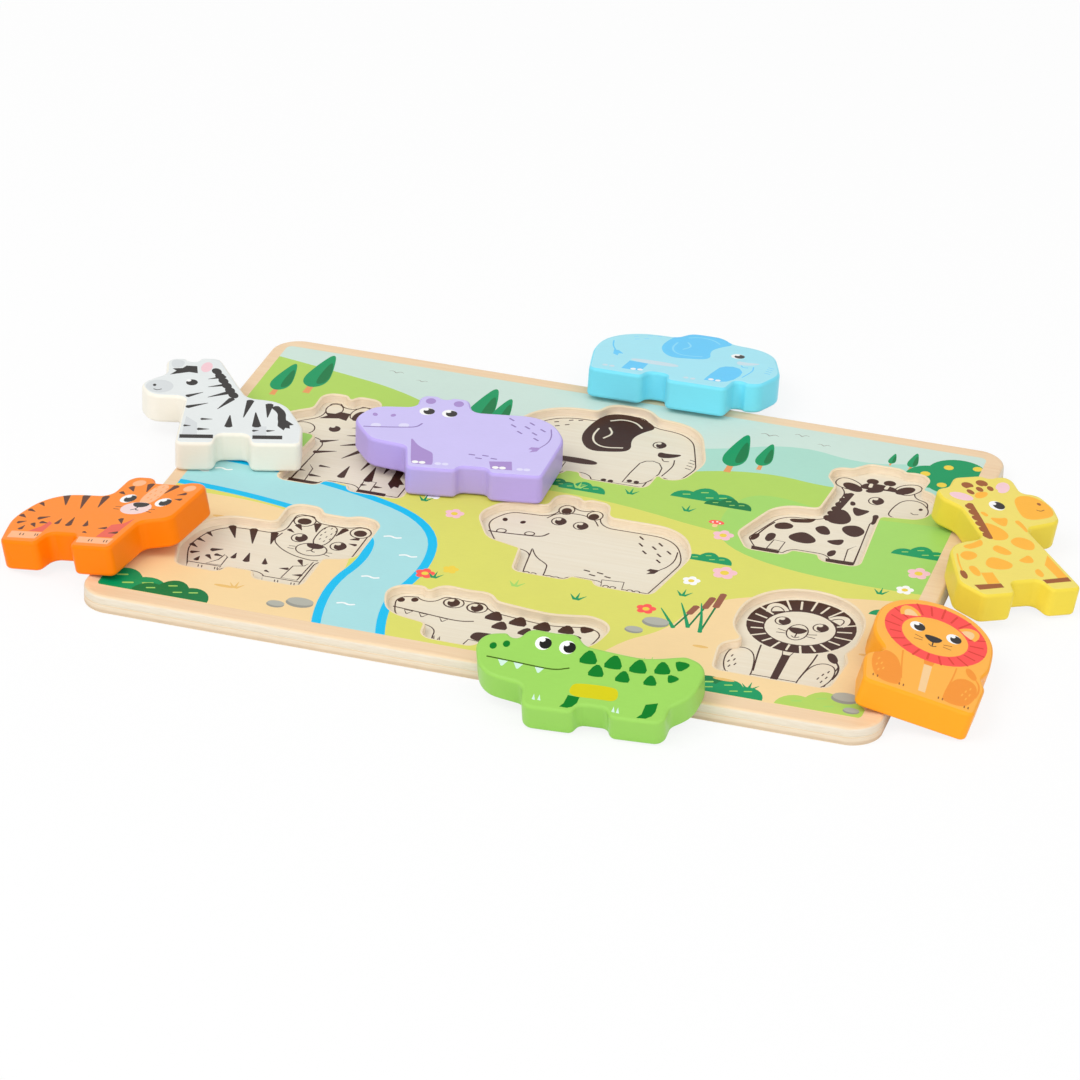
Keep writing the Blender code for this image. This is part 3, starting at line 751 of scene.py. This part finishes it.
def landscape():
    """Print of the board, from its ground to its smallest things."""
    stream = ((-190, -8), (-130, -6), (-84, -14), (-52, -26), (-46, -52), (-54, -82), (-40, -130))
    prints = [
        ("meadow", facet((-190, -140), (190, -140), (190, 140), (-190, 140))),
        ("sky", patch((-190, 60), (-190, 130), (190, 130), (190, 66), (100, 52), (0, 48), (-90, 54))),
        ("far_hill", patch((-30, 30), (-44, 60), (-20, 84), (14, 70), (40, 76), (70, 92), (98, 84),
                           (124, 94), (190, 90), (190, 30))),
        ("hill", patch((-190, 20), (-190, 104), (-128, 92), (-84, 82), (-52, 58), (-20, 62), (20, 48),
                       (60, 66), (96, 60), (128, 70), (190, 60), (190, 18), (80, 6), (0, 26), (-60, 14))),
        ("grass", patch((-190, 14), (-190, 54), (-140, 48), (-100, 30), (-60, 44), (-44, 22), (-70, 4))),
        ("grass", patch((56, 30), (66, 50), (100, 40), (150, 46), (190, 36), (190, -6), (110, -12), (62, 0))),
        ("sand", patch((-190, -30), (-120, -22), (-84, -30), (-62, -48), (-64, -90), (-40, -140),
                       (-190, -140))),
        ("sand", patch((190, -10), (140, -16), (90, -28), (66, -44), (62, -66), (44, -84), (30, -140),
                       (190, -140))),
        ("water_edge", stroke(27, *stream)),
        ("water", stroke(20, *stream)),
    ]
    scattered = {
        wave: ((-140, -8), (-132, -4), (-54, -34), (-44, -46), (-52, -66), (-54, -88)),
        cypress: ((-136, 62, 28), (-124, 68, 34), (-54, 60, 36), (-46, 66, 24), (50, 60, 32), (61, 66, 22),
                  (116, 86, 14), (108, 87, 10)),
        fruit_tree: ((134, 56, 44),),
        bird: ((58, 95, 3.6), (70, 99, 3.0), (80, 94, 2.6), (-96, 97, 3.0), (-84, 93, 2.4)),
        bush: ((-137, 36, 6, "bush"), (-133, 12, 5, "bush_dark"), (48, 34, 7, "bush"),
               (58, 32, 5, "bush_dark"), (136, 18, 6, "bush"), (62, -12, 5, "bush"),
               (-136, -104, 10, "bush"), (-116, -104, 8, "bush_dark"), (58, -104, 8, "bush"),
               (76, -104, 10, "bush_dark"), (94, -104, 7, "bush"), (128, -104, 9, "hill"),
               (137, -30, 5, "bush"), (-8, 27, 4, "bush_dark"), (2, 26, 5, "bush")),
        mushroom: ((-56, 30, 3.4), (-47, 24, 2.6), (57, 18, 2.8), (-137, -36, 3.0), (-130, -38, 2.2)),
        reed: ((68, -62, 24, 3), (73, -64, 30, 1), (63, -64, 18, 4)),
        flower: ((62, 10, "petal_pink", 2.4), (70, -18, "petal_pink", 2.8), (60, -28, "white", 2.0),
                 (138, 6, "petal_pink", 2.6), (136, -8, "white", 2.0), (-50, 4, "white", 2.2),
                 (-38, -8, "petal_pink", 2.2), (-34, 30, "white", 1.9), (-138, 26, "petal_pink", 2.2),
                 (-34, -56, "petal_red", 2.2), (-26, -50, "petal_yellow", 1.8), (50, -54, "petal_red", 2.2)),
        pebble: ((56, -62, 5.0, 3.4), (50, -70, 3.4, 2.4), (-70, -92, 5.2, 3.4), (-78, -96, 3.4, 2.4),
                 (134, -92, 5.0, 3.6), (138, -100, 3.0, 2.0), (-136, -58, 3.8, 2.6)),
        tuft: ((-40, 10, 4, "grass"), (-52, -2, 4, "bush"), (60, -40, 4.2, "bush"), (-30, -58, 4, "bush"),
               (0, 28, 4, "grass"), (20, 30, 4, "bush"), (-138, 2, 4, "bush"), (0, -54, 4.2, "grass"),
               (24, -56, 4.4, "bush"), (-142, -78, 4, "grass"), (128, -14, 4, "bush"),
               (62, -92, 4, "grass"), (100, -98, 4.4, "bush"), (-96, -90, 4, "sand_dark"),
               (44, 24, 4, "bush")),
        sand_mark: ((-120, -40, 3.0), (-100, -90, 4.0), (-134, -70, 3.0), (90, -94, 4.0), (76, -74, 3.0),
                    (134, -60, 3.0), (136, -44, 2.4)),
    }
    for draw, places in scattered.items():
        for place in places:
            prints += draw(*place)
    return prints


# Outlines of the CAD nodes.


def joined_mesh(node):
    """Mesh of a CAD node with its doubled vertices joined."""
    bm = bmesh.new()
    bm.from_mesh(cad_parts[node].data)
    bmesh.ops.remove_doubles(bm, verts=bm.verts, dist=DOUBLED)
    bm.normal_update()
    return bm


def border_chains(faces):
    """Closed chains of points round some faces."""
    chosen = set(faces)
    following = {}
    for face in faces:
        for loop in face.loops:
            if not any(f in chosen for f in loop.edge.link_faces if f is not face):
                following[loop.vert] = loop.link_loop_next.vert
    chains = []
    while following:
        vert = next(iter(following))
        chain = []
        while vert in following:
            chain.append(vert.co.copy())
            vert = following.pop(vert)
        chains.append(chain)
    return chains


def bounding_box(points):
    """Lowest and highest corner of the box round some points."""
    axes = list(zip(*points))
    return Vector([min(axis) for axis in axes]), Vector([max(axis) for axis in axes])


def middle(points):
    """Middle of the box round some points."""
    low, high = bounding_box(points)
    return (low + high) / 2.0


def extent(points):
    """Size of the box round some points."""
    low, high = bounding_box(points)
    return high - low


def upper_outlines(node, up):
    """Upper borders of the upright walls of a node, as chains of points."""
    bm = joined_mesh(node)
    chains = border_chains([f for f in bm.faces if abs(f.normal.dot(up)) < UPRIGHT])
    heights = [sum(p.dot(up) for p in chain) / len(chain) for chain in chains]
    halfway = (min(heights) + max(heights)) / 2.0
    bm.free()
    return [chain for chain, height in zip(chains, heights) if height > halfway]


def reach(node, up):
    """Lowest and highest point of a node along a direction, in millimetres."""
    heights = [v.co.dot(up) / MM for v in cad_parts[node].data.vertices]
    return min(heights), max(heights)


def top_normal(node):
    """Direction that the flat top of a node faces."""
    bm = joined_mesh(node)
    face = max((f for f in bm.faces if f.normal.z > FACING_UP), key=lambda f: f.calc_area())
    normal = face.normal.copy()
    bm.free()
    return normal


# Meshes.


def linked(name, data):
    """New object of some data, in the scene."""
    thing = bpy.data.objects.new(name, data)
    bpy.context.scene.collection.objects.link(thing)
    return thing


class Skin:
    """Points with their normals, and faces with their materials, of one piece."""

    def __init__(self):
        self.points = []
        self.normals = []
        self.faces = []
        self.inks = []

    def add(self, points, normals, faces, inks):
        """Takes in one more sheet or wall."""
        first = len(self.points)
        self.points.extend(points)
        self.normals.extend(normals)
        self.faces.extend([first + i for i in face] for face in faces)
        self.inks.extend(inks)

    def make(self, name, place, materials):
        """Object of the skin, with its points in millimetres in the frame of place."""
        turn = place.to_3x3()
        mesh = bpy.data.meshes.new(name)
        mesh.from_pydata([turn @ Vector(p) * MM for p in self.points], [], self.faces)
        used = list(dict.fromkeys(self.inks))
        for ink in used:
            mesh.materials.append(materials[ink])
        mesh.polygons.foreach_set("material_index", [used.index(ink) for ink in self.inks])
        mesh.shade_smooth()
        mesh.normals_split_custom_set_from_vertices([turn @ Vector(n) for n in self.normals])
        thing = linked(name, mesh)
        thing.location = place.translation
        return thing


def outward_normals(outline):
    """Unit normals of a counter-clockwise outline, pointing out of it."""
    count = len(outline)
    normals = []
    for i in range(count):
        ahead = (outline[(i + 1) % count] - outline[i - 1]).normalized()
        normals.append(Vector((ahead.y, -ahead.x)))
    return normals


def nearest(points, outline):
    """For each point, its distance from an outline, the unit direction to it, and the nearest corner."""
    tree = KDTree(len(outline))
    for i, p in enumerate(outline):
        tree.insert((p.x, p.y, 0.0), i)
    tree.balance()
    found = []
    for p in points:
        _, i, _ = tree.find((p.x, p.y, 0.0))
        ways = []
        for a, b in ((outline[i - 1], outline[i]), (outline[i], outline[(i + 1) % len(outline)])):
            _, share = intersect_point_line(p, a, b)
            ways.append(a.lerp(b, min(max(share, 0.0), 1.0)) - p)
        way = min(ways, key=lambda w: w.length)
        found.append((way.length, way.normalized(), i))
    return found


def shrunk(outline, inset):
    """Counter-clockwise outline with its points moved inwards."""
    return [p - n * inset for p, n in zip(outline, outward_normals(outline))]


def inset_path(outline, inset):
    """Outline moved inwards, without the points that come too near to another side."""
    path = shrunk(outline, inset)
    clear = CLEAR_SHARE * abs(inset)
    return [p for p, (distance, _, _) in zip(path, nearest(path, outline)) if distance > clear]


def spaced(outline):
    """Outline with points added on its long sides."""
    path = []
    for a, b in zip(outline, outline[1:] + outline[:1]):
        count = math.ceil((b - a).length / POINT_SPACING)
        path.extend(a.lerp(b, i / count) for i in range(count))
    return path


def soft_outline(points):
    """Outline with its corners cut, running counter-clockwise, with points all along it."""
    return spaced(counter_clockwise(smooth(points, 2)))


def inside(points, shape):
    """Whether each point of an array lies inside a closed shape."""
    a = np.array(shape)
    b = np.roll(a, -1, axis=0)
    rise = np.where(a[:, 1] == b[:, 1], 1.0, b[:, 1] - a[:, 1])
    near = np.flatnonzero(((points > a.min(axis=0)) & (points < a.max(axis=0))).all(axis=1))
    x, y = points[near, 0, None], points[near, 1, None]
    crossed = (a[:, 1] > y) != (b[:, 1] > y)
    to_the_right = x < a[:, 0] + (y - a[:, 1]) * (b[:, 0] - a[:, 0]) / rise
    found = np.zeros(len(points), dtype=bool)
    found[near] = (crossed & to_the_right).sum(axis=1) % 2 == 1
    return found


def border_rings(outlines, radii):
    """Paths along the rounding of each outline, up to the flat top."""
    rings = []
    for k, (outline, radius) in enumerate(zip(outlines, radii)):
        for step in range(1, ROUND_STEPS + 1):
            inset = radius * (1.0 - math.cos(math.pi / 2.0 * step / ROUND_STEPS))
            rings.append(inset_path(outline, -inset if k else inset))
    return rings


def triangulated(shapes):
    """Flat points and triangles between them, cut along some closed shapes."""
    flat, edges = [], []
    for shape in shapes:
        first, count = len(flat), len(shape)
        edges.extend((first + i, first + (i + 1) % count) for i in range(count))
        flat.extend(shape)
    points, _, triangles, _, _, _ = delaunay_2d_cdt(flat, edges, [], 0, JOINED)
    return points, triangles


def rolled_off(flat, outlines, radii):
    """Flat points dropped along a quarter circle towards each outline, and their normals."""
    points = [Vector((p.x, p.y, 0.0)) for p in flat]
    normals = [UP] * len(flat)
    for k, (outline, radius) in enumerate(zip(outlines, radii)):
        outwards = outward_normals(outline)
        for i, (distance, way, corner) in enumerate(nearest(flat, outline)):
            if distance < radius:
                slope = 1.0 - distance / radius
                lift = math.sqrt(1.0 - slope * slope)
                if distance < ON_OUTLINE:
                    way = -outwards[corner] if k else outwards[corner]
                points[i].z = radius * (lift - 1.0)
                normals[i] = Vector((way.x * slope, way.y * slope, lift))
    return points, normals


def rounded_sheet(outlines, radii, ground, prints=(), field=(), edge=None):
    """Flat top with rounded borders: points, normals, triangles and their inks.

    The first outline is the border and the others are holes. Points lie at height 0, and
    drop along a quarter circle towards each outline that has a radius. Prints show inside
    the field, or everywhere if none is given. The edge ink, if given, takes the lower half
    of the rounding of the border.
    """
    rings = border_rings(outlines, radii)
    flat, triangles = triangulated([*outlines, *rings, field, *[shape for _, shape in prints]])
    spots = np.array([(flat[a] + flat[b] + flat[c]) / 3.0 for a, b, c in triangles])
    kept = inside(spots, outlines[0])
    for hole in outlines[1:]:
        kept &= ~inside(spots, hole)
    printed = kept & inside(spots, field) if field else kept
    inks = np.array([ground] * len(triangles), dtype=object)
    for ink, shape in prints:
        inks[printed & inside(spots, shape)] = ink
    if edge:
        inks[~inside(spots, rings[ROUND_STEPS // 2 - 1])] = edge

    points, normals = rolled_off(flat, outlines, radii)
    shown = [triangle for triangle, keep in zip(triangles, kept) if keep]
    used = sorted({i for triangle in shown for i in triangle})
    number = {i: new for new, i in enumerate(used)}
    faces = [[number[i] for i in triangle] for triangle in shown]
    return [points[i] for i in used], [normals[i] for i in used], faces, inks[kept].tolist()


def wall(outline, top, bottom, ink, hole=False):
    """Upright band along an outline."""
    count = len(outline)
    points = [(p.x, p.y, z) for z in (top, bottom) for p in outline]
    sign = -1.0 if hole else 1.0
    normals = [(sign * n.x, sign * n.y, 0.0) for n in outward_normals(outline)] * 2
    faces = []
    for i in range(count):
        j = (i + 1) % count
        face = (i, i + count, j + count, j)
        faces.append(face[::-1] if hole else face)
    return points, normals, faces, [ink] * count


def turned_over(sheet, bottom):
    """A rounded sheet as the underside of a piece."""
    points, normals, faces, inks = sheet
    return ([(p.x, p.y, bottom - p.z) for p in points], [(n.x, n.y, -n.z) for n in normals],
            [face[::-1] for face in faces], inks)


# Materials.


class Nodes:
    """Node tree of a material or a world, with short calls to add and link nodes."""

    def __init__(self, owner):
        owner.use_nodes = True
        self.owner = owner
        self.tree = owner.node_tree

    def feed(self, node, inputs):
        """Sets inputs of a node to values, or links them to sockets."""
        for key, value in inputs.items():
            if isinstance(value, bpy.types.NodeSocket):
                self.tree.links.new(value, node.inputs[key])
            else:
                node.inputs[key].default_value = value

    def add(self, kind, inputs, **settings):
        """New node with its settings and inputs."""
        node = self.tree.nodes.new(kind)
        for key, value in settings.items():
            setattr(node, key, value)
        self.feed(node, inputs)
        return node

    def place(self):
        """Coordinates of the object."""
        return self.add("ShaderNodeTexCoord", {}).outputs["Object"]

    def noise(self, stretch, detail=4.0, roughness=0.55):
        """Noise over the object, at a scale for each axis."""
        mapping = self.add("ShaderNodeMapping", {"Vector": self.place(), "Scale": stretch})
        node = self.add("ShaderNodeTexNoise", {
            "Vector": mapping.outputs["Vector"], "Scale": 1.0, "Detail": detail, "Roughness": roughness,
        })
        return node.outputs["Fac"]

    def ramp(self, factor, *stops):
        """Colour ramp of (position, linear colour) stops."""
        node = self.add("ShaderNodeValToRGB", {"Fac": factor})
        while len(node.color_ramp.elements) < len(stops):
            node.color_ramp.elements.new(0.5)
        for element, (position, colour) in zip(node.color_ramp.elements, stops):
            element.position = position
            element.color = (*colour, 1.0)
        return node.outputs["Color"]

    def span(self, factor, low, high):
        """A 0 to 1 value spread between low and high."""
        node = self.add("ShaderNodeMapRange", {"Value": factor, "To Min": low, "To Max": high})
        return node.outputs["Result"]

    def scaled_sum(self, value, scale, offset):
        """A value times a scale, plus an offset."""
        node = self.add("ShaderNodeMath", {0: value, 1: scale, 2: offset}, operation="MULTIPLY_ADD")
        return node.outputs[0]

    def blend(self, value, other, share):
        """A share of one value and the rest of another."""
        return self.scaled_sum(value, share, self.span(other, 0.0, 1.0 - share))

    def seen_directly(self):
        """1 for rays of the camera and for reflected or refracted ones, 0 for light."""
        path = self.add("ShaderNodeLightPath", {}).outputs
        found = path["Is Camera Ray"]
        for ray in ("Is Glossy Ray", "Is Transmission Ray"):
            found = self.add("ShaderNodeMath", {0: found, 1: path[ray]}, operation="MAXIMUM").outputs[0]
        return found

    def surface(self, colour, roughness, height, strength, depth, specular=0.5):
        """Gives the material its colour, roughness, bump and sheen."""
        bump = self.add("ShaderNodeBump", {"Strength": strength, "Distance": depth, "Height": height})
        self.feed(self.tree.nodes["Principled BSDF"], {
            "Base Color": colour, "Roughness": roughness, "Normal": bump.outputs["Normal"],
            "Specular IOR Level": specular,
        })


def shade(colour, share):
    """Colour made darker or lighter by a share."""
    return [min(1.0, c * share) for c in linear(colour)]


def paint(name, colour, roughness, mottle):
    """Satin paint or ink over wood, with faint grain in its colour, gloss and surface."""
    nodes = Nodes(bpy.data.materials.new(name))
    grain = nodes.noise((260.0, 1400.0, 1400.0))
    cloud = nodes.noise((60.0, 60.0, 60.0), detail=3.0)
    tint = nodes.ramp(nodes.blend(grain, cloud, share=0.5), (0.30, shade(colour, 1.0 - mottle)),
                      (0.70, shade(colour, 1.0 + mottle)))
    gloss = nodes.span(cloud, roughness - 0.06, roughness + 0.06)
    nodes.surface(tint, gloss, grain, strength=0.10, depth=0.0002, specular=PAINT_SPECULAR)
    return nodes.owner


def bare_wood(name, pale, dark, roughness):
    """Birch sheet: long grain along x, fine pores and a soft sheen."""
    nodes = Nodes(bpy.data.materials.new(name))
    drift = nodes.noise((5.0, 26.0, 26.0), detail=5.0)
    grain = nodes.noise((24.0, 620.0, 620.0), detail=6.0, roughness=0.62)
    tint = nodes.ramp(nodes.blend(grain, drift, share=0.6), (0.34, linear(dark)), (0.62, linear(pale)))
    gloss = nodes.span(grain, roughness - 0.08, roughness + 0.08)
    nodes.surface(tint, gloss, grain, strength=0.22, depth=0.0003)
    return nodes.owner


def ply_edge(name, bands):
    """Cut edge of plywood, with bands of colour by their depth under the top: its veneers, plus the painted
    light and painted shade that some edges carry.
    """
    deepest = bands[-1][0]
    nodes = Nodes(bpy.data.materials.new(name))
    wobble = nodes.noise((60.0, 60.0, 20.0), detail=3.0)
    fibre = nodes.noise((160.0, 160.0, 2400.0), detail=5.0, roughness=0.6)
    split = nodes.add("ShaderNodeSeparateXYZ", {"Vector": nodes.place()})
    depth = nodes.scaled_sum(split.outputs["Z"], -1.0 / (deepest * MM), nodes.span(wobble, -0.10, 0.10))
    veneer = nodes.ramp(depth, *[(at / deepest, linear(colour)) for at, colour in bands])
    streak = nodes.ramp(fibre, (0.36, (0.90, 0.84, 0.76)), (0.58, (1.0, 1.0, 1.0)))
    mixed = nodes.add("ShaderNodeMix", {"Factor": 0.5, "A": veneer, "B": streak}, data_type="RGBA",
                      blend_type="MULTIPLY")
    gloss = nodes.span(fibre, 0.55, 0.75)
    nodes.surface(mixed.outputs["Result"], gloss, fibre, strength=0.15, depth=0.0002)
    return nodes.owner


def make_materials():
    """Every material of the puzzle, by its short name."""
    made = {}
    for ink, colour in INKS.items():
        if ink.endswith("_side"):
            made[ink] = paint("paint_" + ink, colour, SIDE_ROUGHNESS, SIDE_MOTTLE)
        else:
            made[ink] = paint("paint_" + ink, colour, PRINT_ROUGHNESS, PRINT_MOTTLE)
    made.update({wood: bare_wood(*looks) for wood, looks in WOODS.items()})
    made.update({edge: ply_edge(edge, bands) for edge, bands in PLIES.items()})
    return made


# Pieces.


def slab(outline, radius, thickness, inks, prints, field=()):
    """Skin of a slab with rounded edges, by the inks of its top, side and underside."""
    top, side, underside = inks
    skin = Skin()
    skin.add(*rounded_sheet([outline], [radius], top, prints, field))
    skin.add(*wall(outline, -radius, radius - thickness, side))
    skin.add(*turned_over(rounded_sheet([outline], [radius], underside), -thickness))
    return skin


def make_block(animal, materials):
    """Painted block with its print; gives the size of its outline."""
    node = animal + "_block"
    up = top_normal(node)
    axes = UP.rotation_difference(up).to_matrix()
    axes = axes @ Matrix.Rotation(math.radians(TURN_ANGLE[animal]), 3, "Z")
    chain = max(upper_outlines(node, up), key=len)
    local = [axes.transposed() @ p for p in chain]
    centre = middle(local)
    bottom, top = reach(node, up)
    place = axes.to_4x4()
    place.translation = axes @ Vector((centre.x, centre.y, top * MM))
    outline = soft_outline([(p - centre).xy / MM for p in local])
    side = animal + "_side"
    field = inset_path(outline, PRINT_INSET)
    prints = [(animal + "_top", field)]
    prints += [(ink, counter_clockwise(shape)) for ink, _, shape in DRAWINGS[animal]]
    skin = slab(outline, BLOCK_RADIUS, top - bottom, [side] * 3, prints, field)
    block = skin.make(animal + "_piece", place, materials)
    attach(block, animal)
    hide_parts(node)
    return extent(outline)


def board_outlines():
    """Outline of the board, and then of each opening in it."""
    chains = upper_outlines("cutout_panel", UP)
    outlines = [soft_outline([p.xy / MM for p in chain]) for chain in chains]
    return sorted(outlines, key=lambda outline: -extent(outline).x * extent(outline).y)


def make_printed_sheet(outlines, materials):
    """Upper sheet of the board, with its landscape and its openings."""
    _, top = reach("cutout_panel", UP)
    _, base_top = reach("base_panel", UP)
    bottom = base_top + GLUE_LINE - top
    radii = [EDGE_RADIUS] + [RIM_RADIUS] * (len(outlines) - 1)
    skin = Skin()
    rims = [("rim", inset_path(hole, -RIM_WIDTH)) for hole in outlines[1:]]
    skin.add(*rounded_sheet(outlines, radii, "wood", landscape() + rims, print_field(), "sheet_edge"))
    # The walls of the openings carry the recess wall colours, which hold painted light.
    for k, (outline, radius) in enumerate(zip(outlines, radii)):
        skin.add(*wall(outline, -radius, bottom, "lightened_recess_wall" if k else "sheet_edge", hole=k > 0))
    skin.add(*turned_over(rounded_sheet(outlines, (), "underside"), bottom))
    panel = skin.make("printed_sheet", Matrix.Translation((0.0, 0.0, top * MM)), materials)
    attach(panel, "board")
    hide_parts("cutout_panel")


def make_base_sheet(outlines, block_extents, materials):
    """Lower sheet of the board, with a line drawing on the floor of each recess."""
    _, top = reach("base_panel", UP)
    prints = []
    for animal, size in block_extents.items():
        hole = min(outlines[1:], key=lambda outline: (extent(outline) - size).length)
        prints += line_art(animal, hole)
    # The side ink of the base sheet holds painted shade along its foot.
    skin = slab(outlines[0], BASE_RADIUS, top, ("floor", "base_edge_and_shade", "underside"), prints)
    base = skin.make("base_sheet", Matrix.Translation((0.0, 0.0, top * MM)), materials)
    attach(base, "board")
    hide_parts("base_panel")


# Stage.


def make_floor():
    """Pale floor that keeps the shadow."""
    mesh = bpy.data.meshes.new("floor")
    half = FLOOR_SIZE / 2.0
    corners = [(-half, -half, 0.0), (half, -half, 0.0), (half, half, 0.0), (-half, half, 0.0)]
    mesh.from_pydata(corners, [], [(0, 1, 2, 3)])
    nodes = Nodes(bpy.data.materials.new("floor_paper"))
    speck = nodes.noise((300.0, 300.0, 300.0), detail=3.0)
    paper = nodes.ramp(speck, (0.3, (0.93, 0.93, 0.93)), (0.7, (0.95, 0.95, 0.95)))
    shader = nodes.tree.nodes["Principled BSDF"]
    nodes.feed(shader, {"Base Color": paper, "Roughness": 0.9, "Specular IOR Level": 0.1})
    glow = nodes.add("ShaderNodeEmission", {"Color": WHITE})
    seen = nodes.add("ShaderNodeMath", {0: nodes.seen_directly(), 1: FLOOR_GLOW}, operation="MULTIPLY")
    mix = nodes.add("ShaderNodeMixShader", {
        "Fac": seen.outputs[0], 1: shader.outputs["BSDF"], 2: glow.outputs["Emission"],
    })
    nodes.feed(nodes.tree.nodes["Material Output"], {"Surface": mix.outputs["Shader"]})
    mesh.materials.append(nodes.owner)
    floor = linked("floor", mesh)


def make_world():
    """Even white surroundings, seen as white and lighting at a plain level."""
    world = bpy.data.worlds.new("studio")
    bpy.context.scene.world = world
    nodes = Nodes(world)
    nodes.tree.nodes.clear()
    seen = nodes.add("ShaderNodeBackground", {"Color": WHITE, "Strength": 1.0})
    light = nodes.add("ShaderNodeBackground", {"Color": WHITE, "Strength": WORLD_STRENGTH})
    mix = nodes.add("ShaderNodeMixShader", {
        "Fac": nodes.seen_directly(), 1: light.outputs["Background"], 2: seen.outputs["Background"],
    })
    nodes.add("ShaderNodeOutputWorld", {"Surface": mix.outputs["Shader"]})


def add_softbox(name, power, size, position):
    """Square lamp that looks at the board."""
    lamp = bpy.data.lights.new(name, "AREA")
    lamp.energy = power
    lamp.size = size
    thing = linked(name, lamp)
    thing.location = position
    thing.rotation_euler = (-Vector(position)).to_track_quat("-Z", "Y").to_euler()


def add_camera():
    """Camera at the angle of the photograph."""
    yaw, pitch, roll = (math.radians(a) for a in (CAMERA_YAW, CAMERA_PITCH, CAMERA_ROLL))
    ahead = Vector((math.sin(yaw) * math.cos(pitch), math.cos(yaw) * math.cos(pitch), -math.sin(pitch)))
    level = Vector((math.cos(yaw), -math.sin(yaw), 0.0))
    down = ahead.cross(level)
    right = level * math.cos(roll) + down * math.sin(roll)
    up = level * math.sin(roll) - down * math.cos(roll)
    data = bpy.data.cameras.new("camera")
    data.sensor_fit = "HORIZONTAL"
    data.sensor_width = SENSOR_WIDTH
    data.lens = CAMERA_LENS
    data.clip_end = FAR_CLIP
    camera = linked("camera", data)
    camera.matrix_world = Matrix((right, up, -ahead)).transposed().to_4x4()
    camera.location = Vector(CAMERA_TARGET) - ahead * CAMERA_DISTANCE
    bpy.context.scene.camera = camera


bpy.context.scene.view_settings.view_transform = "Standard"
add_camera()
make_world()
make_floor()
for lamp_name, settings in LAMPS.items():
    add_softbox(lamp_name, *settings)
palette = make_materials()
sizes = {animal: make_block(animal, palette) for animal in TURN_ANGLE}
board = board_outlines()
make_printed_sheet(board, palette)
make_base_sheet(board, sizes, palette)
